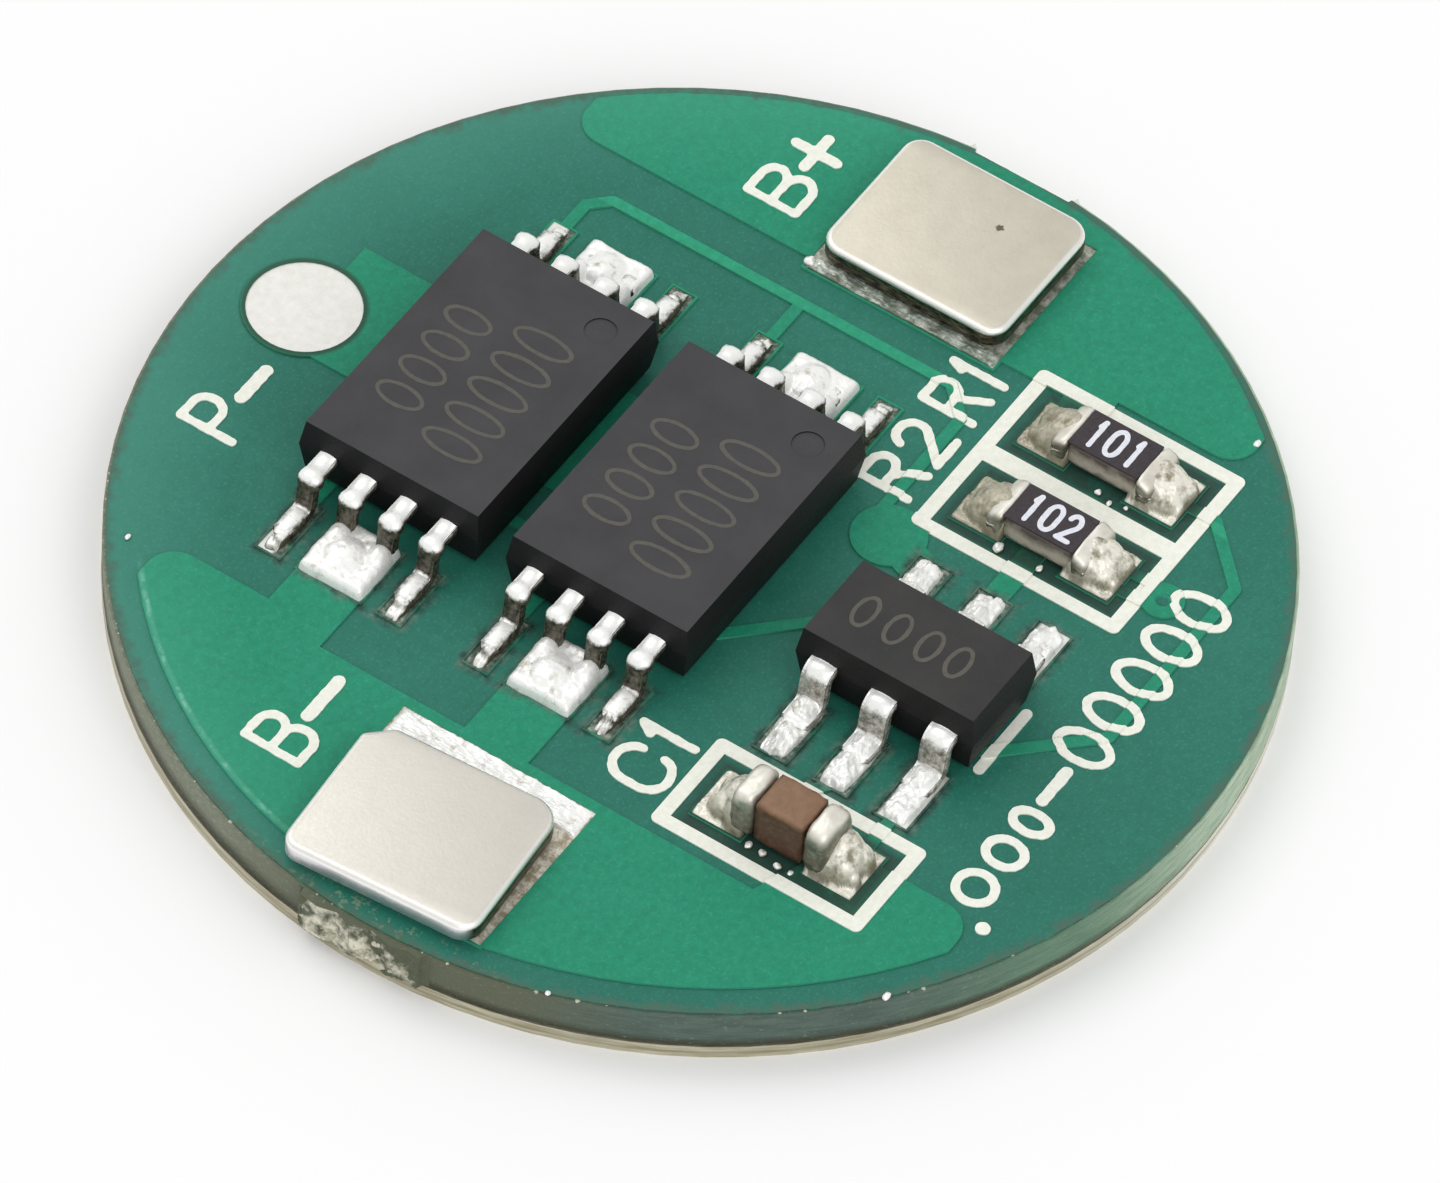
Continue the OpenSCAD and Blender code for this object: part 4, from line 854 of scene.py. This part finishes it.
def add_laser_marks():
    """Rows of faint open rings on the mouldings."""
    rings = []
    for tag in ("mosfet_a_body", "mosfet_b_body"):
        cx, cy = middle_of(tag)
        for row_y, tall, start, end, n in LASER_ROWS:
            pitch = (end - start) / n
            rings += [(tag, 150 + k, cx + start + pitch * (k + 0.5), cy + row_y, abs(pitch) * 0.38, tall / 2)
                      for k in range(n)]
    cx, _ = middle_of("controller_body")
    rings += [("controller_body", 170 + k, cx, y, 0.3, 0.17)
              for k, y in enumerate((-2.9, -3.41, -3.91, -4.37))]
    parts = [mark(LASER, "ring", (x - half_x, x + half_x, y - half_y, y + half_y), LASER_W, seed, tag)
             for tag, seed, x, y, half_x, half_y in rings]
    add_mesh("moulding_marks", parts, MARKED, smooth=False)


# ---------- formed leads and their solder ----------

Lead = namedtuple("Lead", "pitch width thick height foot bend")
MOSFET = Lead(0.65, 0.26, 0.15, 0.6, 0.5, 0.09)
CONTROLLER = Lead(0.95, 0.4, 0.15, 0.64, 0.36, 0.09)
LEG_LEAN = radians(6)
ROOT_IN = 0.06


def lead_path(lead, inner, tip):
    """Middle line of a gull-wing lead: out, over the shoulder, down the leg and along the foot, as (x, z)."""
    steps, turn, thick, bend = 6, pi / 2 - LEG_LEAN, lead.thick, lead.bend
    mid = bend + thick / 2
    heel = (tip - lead.foot + bend, bend + thick)
    shoulder_z = lead.height - thick / 2 - bend
    shift = (shoulder_z - heel[1]) * tan(LEG_LEAN) + (2 * bend + thick) / cos(LEG_LEAN)
    points = [(inner, lead.height)]
    shoulder = (heel[0] - shift, shoulder_z)
    for (x, z), start, end in ((shoulder, pi / 2, pi / 2 - turn), (heel, 3 * pi / 2 - turn, 3 * pi / 2)):
        angles = [start + (end - start) * i / steps for i in range(steps + 1)]
        points += [(x + mid * cos(a), z + mid * sin(a)) for a in angles]
    return points + [(heel[0] + (tip - heel[0]) * i / 4, thick / 2) for i in range(1, 5)]


def lead_coat(lead, inner, tip, seed, swell, ball=0.1):
    """The tin over one lead: fuller over the shoulder and the foot, thin down the leg."""
    path = lead_path(lead, inner, tip)
    rng = random.Random(seed)
    widths, heights = [], []
    for k in range(len(path)):
        share = k / (len(path) - 1)
        shoulder = exp(-((share - 0.22) / 0.13) ** 2)
        foot = exp(-((share - 0.86) / 0.16) ** 2)
        wider = swell * (0.8 * ball * shoulder + 0.04 * foot)
        widths.append(lead.width + 0.02 + wider + rng.uniform(-0.008, 0.008))
        thicker = swell * (ball * shoulder + 0.05 * foot)
        heights.append(lead.thick + 0.02 + thicker + rng.uniform(-0.008, 0.008))
    path = [(x, z + 0.005) for x, z in path]
    path.append((path[-1][0] + 0.03, path[-1][1] - 0.02))
    return sweep(path, widths + [widths[-1] * 0.72], heights + [heights[-1] * 0.6])


def place(part, x, y, side):
    """A swept part moved to its lead, turned over to point along -X where side is -1."""
    verts, faces = part
    if side < 0:
        faces = [f[::-1] for f in faces]
    return np.array(verts, float) * [side, 1, 1] + [x, y, Z_SEAT], faces


def package(body, leads):
    """A package's middle, and how far from it the leads' tips are and the leads leave the moulding."""
    cx, cy = middle_of(body)
    return cx, cy, box_mm(leads)[1][0] - cx, box_mm(body)[1][0] - cx - ROOT_IN


def add_mosfet(tag, seed):
    cx, cy, tip, inner = package(f"mosfet_{tag}_body", f"mosfet_{tag}_drain_frame")
    rng = random.Random(seed)
    coats, outer, middle = [], [], []
    for side in (-1, 1):
        foot_x = cx + side * (tip - 0.1)
        for row in (-1.5, -0.5, 0.5, 1.5):
            coat = lead_coat(MOSFET, inner, tip, rng.random(), 1.0 + 0.3 * rng.random())
            coats.append(place(coat, cx, cy + row * MOSFET.pitch, side))
        for row in (-1.5, 1.5):
            centre, size = land_at(foot_x, cy + row * MOSFET.pitch)
            size = size * (0.94, rng.uniform(0.6, 0.72))
            draw = rng.randrange(999)
            bumps = ((side * rng.uniform(0.2, 0.27), rng.uniform(-0.03, 0.03), 0.12, 0.13, 0.16),
                     (side * rng.uniform(-0.1, 0.0), 0.0, 0.2, 0.12, 0.16))
            outer.append(pool(centre, size, 0.06, draw, OUTER_FOOT, bumps))
        centre, size = land_at(foot_x, cy + 0.1)
        bumps = ((side * -0.18, -0.325, 0.3, 0.19, 0.3), (side * -0.18, 0.325, 0.3, 0.19, 0.3),
                 (side * 0.08, 0.05, 0.42, 0.36, 0.3))
        middle.append(pool(centre, size + 0.014, 0.19, rng.randrange(999), MIDDLE_FEET, bumps))
    add_mesh(f"mosfet_{tag}_lead_tin", coats, LEAD)
    add_mesh(f"mosfet_{tag}_outer_feet_solder", outer, FOOT_SOLDER)
    add_mesh(f"mosfet_{tag}_feet_solder", middle, SOLDER, replaces=[f"mosfet_{tag}_solder"])


def add_controller():
    cx, cy, tip, inner = package("controller_body", "controller_leads")
    rng = random.Random(77)
    coats, pools = [], []
    for side in (-1, 1):
        for row in (-1, 0, 1):
            y = cy + row * CONTROLLER.pitch
            coats.append(place(lead_coat(CONTROLLER, inner, tip, rng.random(), 0.8, 0.02), cx, y, side))
            centre, size = land_at(cx + side * (tip - 0.1), y)
            bumps = ((side * -0.3, 0.0, 0.36, 0.22, 0.26), (side * 0.1, 0.04, 0.34, 0.16, 0.17))
            pools.append(pool(centre, size * (0.98, 0.84), 0.1, rng.randrange(999), WIDE_FOOT, bumps))
    add_mesh("controller_lead_tin", coats, WIDE_LEAD)
    add_mesh("controller_feet_solder", pools, SOLDER, replaces=["controller_solder"])


# ---------- chips ----------

def add_chip_ends(tag, seed, end_l, square, drop, core, look):
    """The chip's metal ends, rounded by the solder that wets them, and its body between them."""
    low, high = box_mm(f"{tag}_terminals")
    caps = []
    for end in (-1, 1):
        a, b = low.copy(), high.copy()
        if end < 0:
            b[1] = low[1] + end_l
        else:
            a[1] = high[1] - end_l
        caps.append(lump(a - 0.008, b + (0.008, 0.008, 0.012), seed + end, square, 0.05, drop, end))
    add_mesh(f"{tag}_end_caps", caps, TERMINAL, replaces=[f"{tag}_terminals"])
    low, high = box_mm(core)
    middle = [0, end_l - 0.03, 0]
    body = lump(low + middle, high - middle, seed, 16, 0.01, 0, 1)
    add_mesh(f"{tag}_body", [body], look, replaces=[core])


def add_chip_solder(tag, seed, climb):
    """Solder at both ends of a chip: up the metal end, down to the land's edge."""
    cx, cy = middle_of(f"{tag}_terminals")
    half = box_mm(f"{tag}_terminals")[1][1] - cy
    rng = random.Random(seed)
    pools = []
    for end in (-1, 1):
        wall = cy + end * half
        centre, size = land_at(cx, wall)
        wall -= centre[1]
        bumps = ((0.0, wall - end * 0.1, 0.43, 0.5, climb),
                 (0.12, wall + end * 0.2, 0.26, 0.24, climb * 0.62),
                 (-0.16, wall + end * 0.14, 0.24, 0.26, climb * 0.7),
                 (-0.2, wall + end * 0.34, 0.12, 0.1, climb * 0.4))
        pools.append(pool(centre, size + 0.014, 0.05, rng.randrange(999), CHIP_END, bumps))
    add_mesh(f"{tag}_end_solder", pools, FLUXED_SOLDER, replaces=[f"{tag}_solder"])


# Solder balls left on the mask: x, y, radius and how far it is drawn out along X
SPECKS = [(-4.51, 6.19, 0.035, 1.6), (-7.54, -2.64, 0.04, 1.0), (-4.99, -6.24, 0.05, 1.5),
          (5.76, -5.14, 0.05, 1.4), (4.86, 1.5, 0.085, 1.0), (4.9, 1.36, 0.05, 1.3),
          (3.78, -3.86, 0.05, 1.0), (3.77, -4.31, 0.035, 1.0), (3.71, -4.08, 0.035, 1.5),
          (2.18, -3.3, 0.07, 1.3), (2.21, -3.94, 0.045, 1.4),
          (-3.97, -3.4, 0.05, 1.3), (-3.98, -3.62, 0.055, 1.0), (-4.05, -3.9, 0.06, 0.8),
          (-4.04, -4.1, 0.04, 1.3)]
# The dimple of mask in the plated hole: radius and height of each ring, and how far in its middle lies
DIMPLE = ((0.02, -0.05), (0.07, -0.03), (0.105, 0.0), (0.125, 0.004))
DIMPLE_IN = 0.27


def add_specks():
    balls = [blob((x, y, Z_BOARD + MASK_T + r * 0.6), r, 300 + k, (long, 1, 0.8))
             for k, (x, y, r, long) in enumerate(SPECKS)]
    add_mesh("solder_balls", balls, SOLDER)
    x, y = middle_of("output_via")[0], box_mm("output_via")[0][1] + DIMPLE_IN
    turns = [radians(15 * k) for k in range(24)]
    rings = [(x + r * cos(a), y + r * sin(a), Z_MASK - 0.006 + z) for r, z in DIMPLE for a in turns]
    add_mesh("hole_plug", [(rings, grid_faces(len(DIMPLE), 24) + [range(24)])], MASK)


add_digits()
add_laser_marks()
add_specks()
add_marks()
add_mosfet("a", 11)
add_mosfet("b", 23)
add_controller()
for chip, draw in (("r1", 61), ("r2", 64)):
    add_chip_ends(chip, draw, 0.25, 6, 0.12, f"{chip}_substrate", ALUMINA)
add_chip_ends("c1", 67, 0.37, 4, 0.04, "c1_ceramic", CERAMIC)
for chip, draw, climb in (("r1", 31, 0.47), ("r2", 32, 0.47), ("c1", 33, 0.62)):
    add_chip_solder(chip, draw, climb)


# ---------- cell tabs ----------

TAB_EDGE = 0.085
TAB_W, TAB_L = 2.45, 2.93
NEGATIVE_AT, NEGATIVE_TURN = (-6.475, 0.09), radians(4)


def rounded_outline(corners):
    """Points and outward directions along convex corners (x, y, radius), which run counter-clockwise."""
    steps, outline = 7, []
    points = [np.array(corner[:2]) for corner in corners]
    for i, p in enumerate(points):
        sides = (p - points[i - 1], points[(i + 1) % len(points)] - p)
        (ax, ay), (bx, by) = (side / np.linalg.norm(side) for side in sides)
        r = corners[i][2]
        centre = p - np.array((ay + by, -ax - bx)) * r / (1 + ax * bx + ay * by)
        start = atan2(-ax, ay)
        turn = (atan2(-bx, by) - start) % (2 * pi)
        for k in range(steps + 1):
            angle = start + turn * k / steps
            outward = np.array((cos(angle), sin(angle)))
            outline.append((centre + r * outward, outward))
    return outline


def plate(corners, base, top):
    """A plate from convex corners (x, y, radius), with a rounded top edge and a small chamfer below."""
    steps = 5
    turns = [pi / 2 * k / steps for k in range(steps + 1)]
    levels = [(0.02, base), (0.0, base + 0.02)]
    levels += [(TAB_EDGE * (1 - cos(a)), top - TAB_EDGE + TAB_EDGE * sin(a)) for a in turns]
    outline = rounded_outline(corners)
    verts = [(*(p - out * inset), z) for inset, z in levels for p, out in outline]
    m = len(outline)
    caps = [range(len(verts) - m, len(verts)), range(m)[::-1]]
    return verts, grid_faces(len(levels), m, flip=True) + caps


def add_tabs():
    low, high = box_mm("positive_tab")
    (x, y), (w, l) = middle_of("positive_tab"), (high[:2] - low[:2]) / 2
    corners = [(x - w, y - l, 0.3), (x + w, y - l, 0.36), (x + w, y + l, 0.3), (x - w, y + l, 0.33)]
    add_mesh("positive_cell_tab", [plate(corners, low[2], high[2])], NICKEL, replaces=["positive_tab"])
    low, high = box_mm("negative_tab")
    (x, y), w, l = NEGATIVE_AT, TAB_W / 2, TAB_L / 2
    c, s = cos(NEGATIVE_TURN), sin(NEGATIVE_TURN)
    flat = [(-w, -l, 0.3), (w, -l, 0.42), (w, l - 0.36, 0.12), (w - 0.3, l, 0.12), (-w, l, 0.26)]
    corners = [(x + c * u - s * v, y + s * u + c * v, r) for u, v, r in flat]
    add_mesh("negative_cell_tab", [plate(corners, low[2], high[2])], NICKEL, replaces=["negative_tab"])


def add_tab_flow():
    """Solder squeezed out along the tabs' inner sides, in rough strips."""
    tab_side = box_mm("positive_tab")[0][0]
    centre, size = land_at(tab_side - 0.05, 0)
    x0, x1 = centre[0] - size[0] / 2 + 0.01, tab_side + 0.06
    strip = pool(((x0 + x1) / 2, centre[1]), (x1 - x0, size[1] - 0.04), 0.05, 401, STRIP, sink=0.006)
    add_mesh("positive_tab_flow", [strip], DULL_SOLDER)
    centre, size = land_at(box_mm("negative_tab")[1][0] + 0.2, 0)
    x1 = centre[0] + size[0] / 2
    strip = pool((x1 - 0.255, centre[1]), (0.49, size[1] - 0.04), 0.05, 402, STRIP, sink=0.006)
    add_mesh("negative_tab_flow", [strip], SOLDER)


# ---------- the snapped bridge and the rim ----------

def add_torn_wall():
    """A torn wall of laminate over the stub's end. Returns its Y places and its X along a low line."""
    tree = surface_tree("laminate")
    ny, nz = 130, 34
    top = HIGH[2] + 0.004
    ys = np.linspace(-1.06, 1.02, ny)
    starts = [Vector((-9, y, (LOW[2] + HIGH[2]) / 2)) for y in ys]
    stub = np.array([-tree.ray_cast(start, Vector((1, 0, 0)))[0].x for start in starts])
    y, z = np.meshgrid(ys, np.linspace(LOW[2] - 0.01, top, nz), indexing="ij")
    rough = 0.05 * lattice(y, z, 0.2, 61, 4, 0.75) + 0.03 * lattice(y, z, 0.06, 62, 3, 0.7)
    fade = np.clip((1 - abs(ys / 1.04)) / 0.1, 0, 1)[:, None] * np.clip((top - z) / 0.1, 0, 1) ** 0.5
    x = -stub[:, None] - 0.003 - fade * np.maximum(0.03 + rough, 0.0)
    x = np.maximum(x, LOW[0] + 0.001)
    verts = np.stack([x, y, z], -1).reshape(-1, 3)
    add_mesh("torn_bridge", [(verts, grid_faces(ny, nz, closed=False, flip=True))], TORN)
    return ys, x[:, nz // 3]


def add_torn_fibres(rng, ys, wall):
    strands = []
    for k in range(70):
        y = rng.uniform(-0.3, 0.86) if k % 5 else rng.uniform(-0.86, -0.3)
        z = min(LOW[2] + abs(rng.normal(0.0, 0.17)) + 0.02, HIGH[2] - 0.06)
        r = rng.uniform(0.02, 0.05)
        x = max(float(np.interp(y, ys, wall)) - rng.uniform(-0.02, 0.02), LOW[0] + 1.4 * r)
        strands.append(blob((x, y, z), r, 500 + k, (1.0, rng.uniform(0.8, 2.2), rng.uniform(0.6, 1.2)), 0.2))
    add_mesh("torn_fibres", strands, FIBRE)


def rim_chip(angle, inset, down, radius, seed, squash):
    """A chip of laminate at the top of the rim."""
    d = BOARD_R - inset
    return blob((d * cos(angle), d * sin(angle), HIGH[2] - down), radius, seed, squash)


def add_rim_chips(rng):
    """Chips where the board was cut, more of them at the -X side, and four larger ones at the +X side."""
    chips = []
    for k in range(26):
        angle, r = radians(rng.uniform(150, 330)), rng.uniform(0.012, 0.03)
        chips.append(rim_chip(angle, 0.03 + rng.uniform(0.0, 0.05), rng.uniform(0.0, 0.02), r, 600 + k,
                              (1.3, 1.3, 0.7)))
    for k in range(46):
        angle = radians(rng.uniform(95, 200))
        chips.append(rim_chip(angle, 0.02 + rng.uniform(0.0, 0.03), rng.uniform(0.0, 0.03),
                              rng.uniform(0.008, 0.022), 700 + k, (1.2, 1.2, 0.7)))
    for angle, r in ((6.4, 0.06), (2.2, 0.05), (-2.4, 0.05), (-6.6, 0.07)):
        chips.append(rim_chip(radians(angle), 0.1, 0.06, r, 650 + int(angle), (0.8, 2.0, 0.9)))
    add_mesh("rim_chips", chips, FIBRE)


add_tabs()
add_tab_flow()
draws = np.random.default_rng(9)
add_torn_fibres(draws, *add_torn_wall())
add_rim_chips(draws)


# ---------- floor and light ----------

FLOOR_HALF = 1.5
FLOOR_WHITE = (252, 252, 252)
FILL_STRENGTH = 0.685


def add_stage():
    corners = [(x * FLOOR_HALF, y * FLOOR_HALF, 0) for x, y in ((-1, -1), (1, -1), (1, 1), (-1, 1))]
    mesh = bpy.data.meshes.new("floor")
    mesh.from_pydata(corners, [], [(0, 1, 2, 3)])
    mesh.materials.append(Look("floor_white", FLOOR_WHITE, 0.9, specular=0.0).mat)
    new_object("floor", mesh)


def add_lamp(name, azimuth, elevation, distance, size, power):
    """A square soft lamp; azimuth is measured from +X towards +Y, in degrees."""
    a, e = radians(azimuth), radians(elevation)
    at = Vector((cos(a) * cos(e), sin(a) * cos(e), sin(e))) * distance
    data = bpy.data.lights.new(name, "AREA")
    data.shape = "SQUARE"
    data.size = size
    data.energy = power
    aim = at.to_track_quat("Z", "Y").to_matrix().to_4x4()
    new_object(name, data).matrix_world = Matrix.Translation(at) @ aim


def add_world():
    """An even white light all round, and a white ground behind the part."""
    world = bpy.data.worlds.new("world")
    world.use_nodes = True
    bpy.context.scene.world = world
    tree = world.node_tree
    fill, white = tree.nodes["Background"], tree.nodes.new("ShaderNodeBackground")
    for node, strength in ((fill, FILL_STRENGTH), (white, 1)):
        node.inputs["Color"].default_value = (1, 1, 1, 1)
        node.inputs["Strength"].default_value = strength
    path = tree.nodes.new("ShaderNodeLightPath")
    mix = tree.nodes.new("ShaderNodeMixShader")
    tree.links.new(path.outputs["Is Camera Ray"], mix.inputs["Fac"])
    tree.links.new(fill.outputs[0], mix.inputs[1])
    tree.links.new(white.outputs[0], mix.inputs[2])
    tree.links.new(mix.outputs[0], tree.nodes["World Output"].inputs["Surface"])


add_stage()
add_world()
add_lamp("key", azimuth=78, elevation=58, distance=1.4, size=1.1, power=5.0)
add_lamp("fill", azimuth=-128, elevation=42, distance=1.4, size=1.1, power=5.4)

bpy.context.scene.view_settings.view_transform = "Standard"
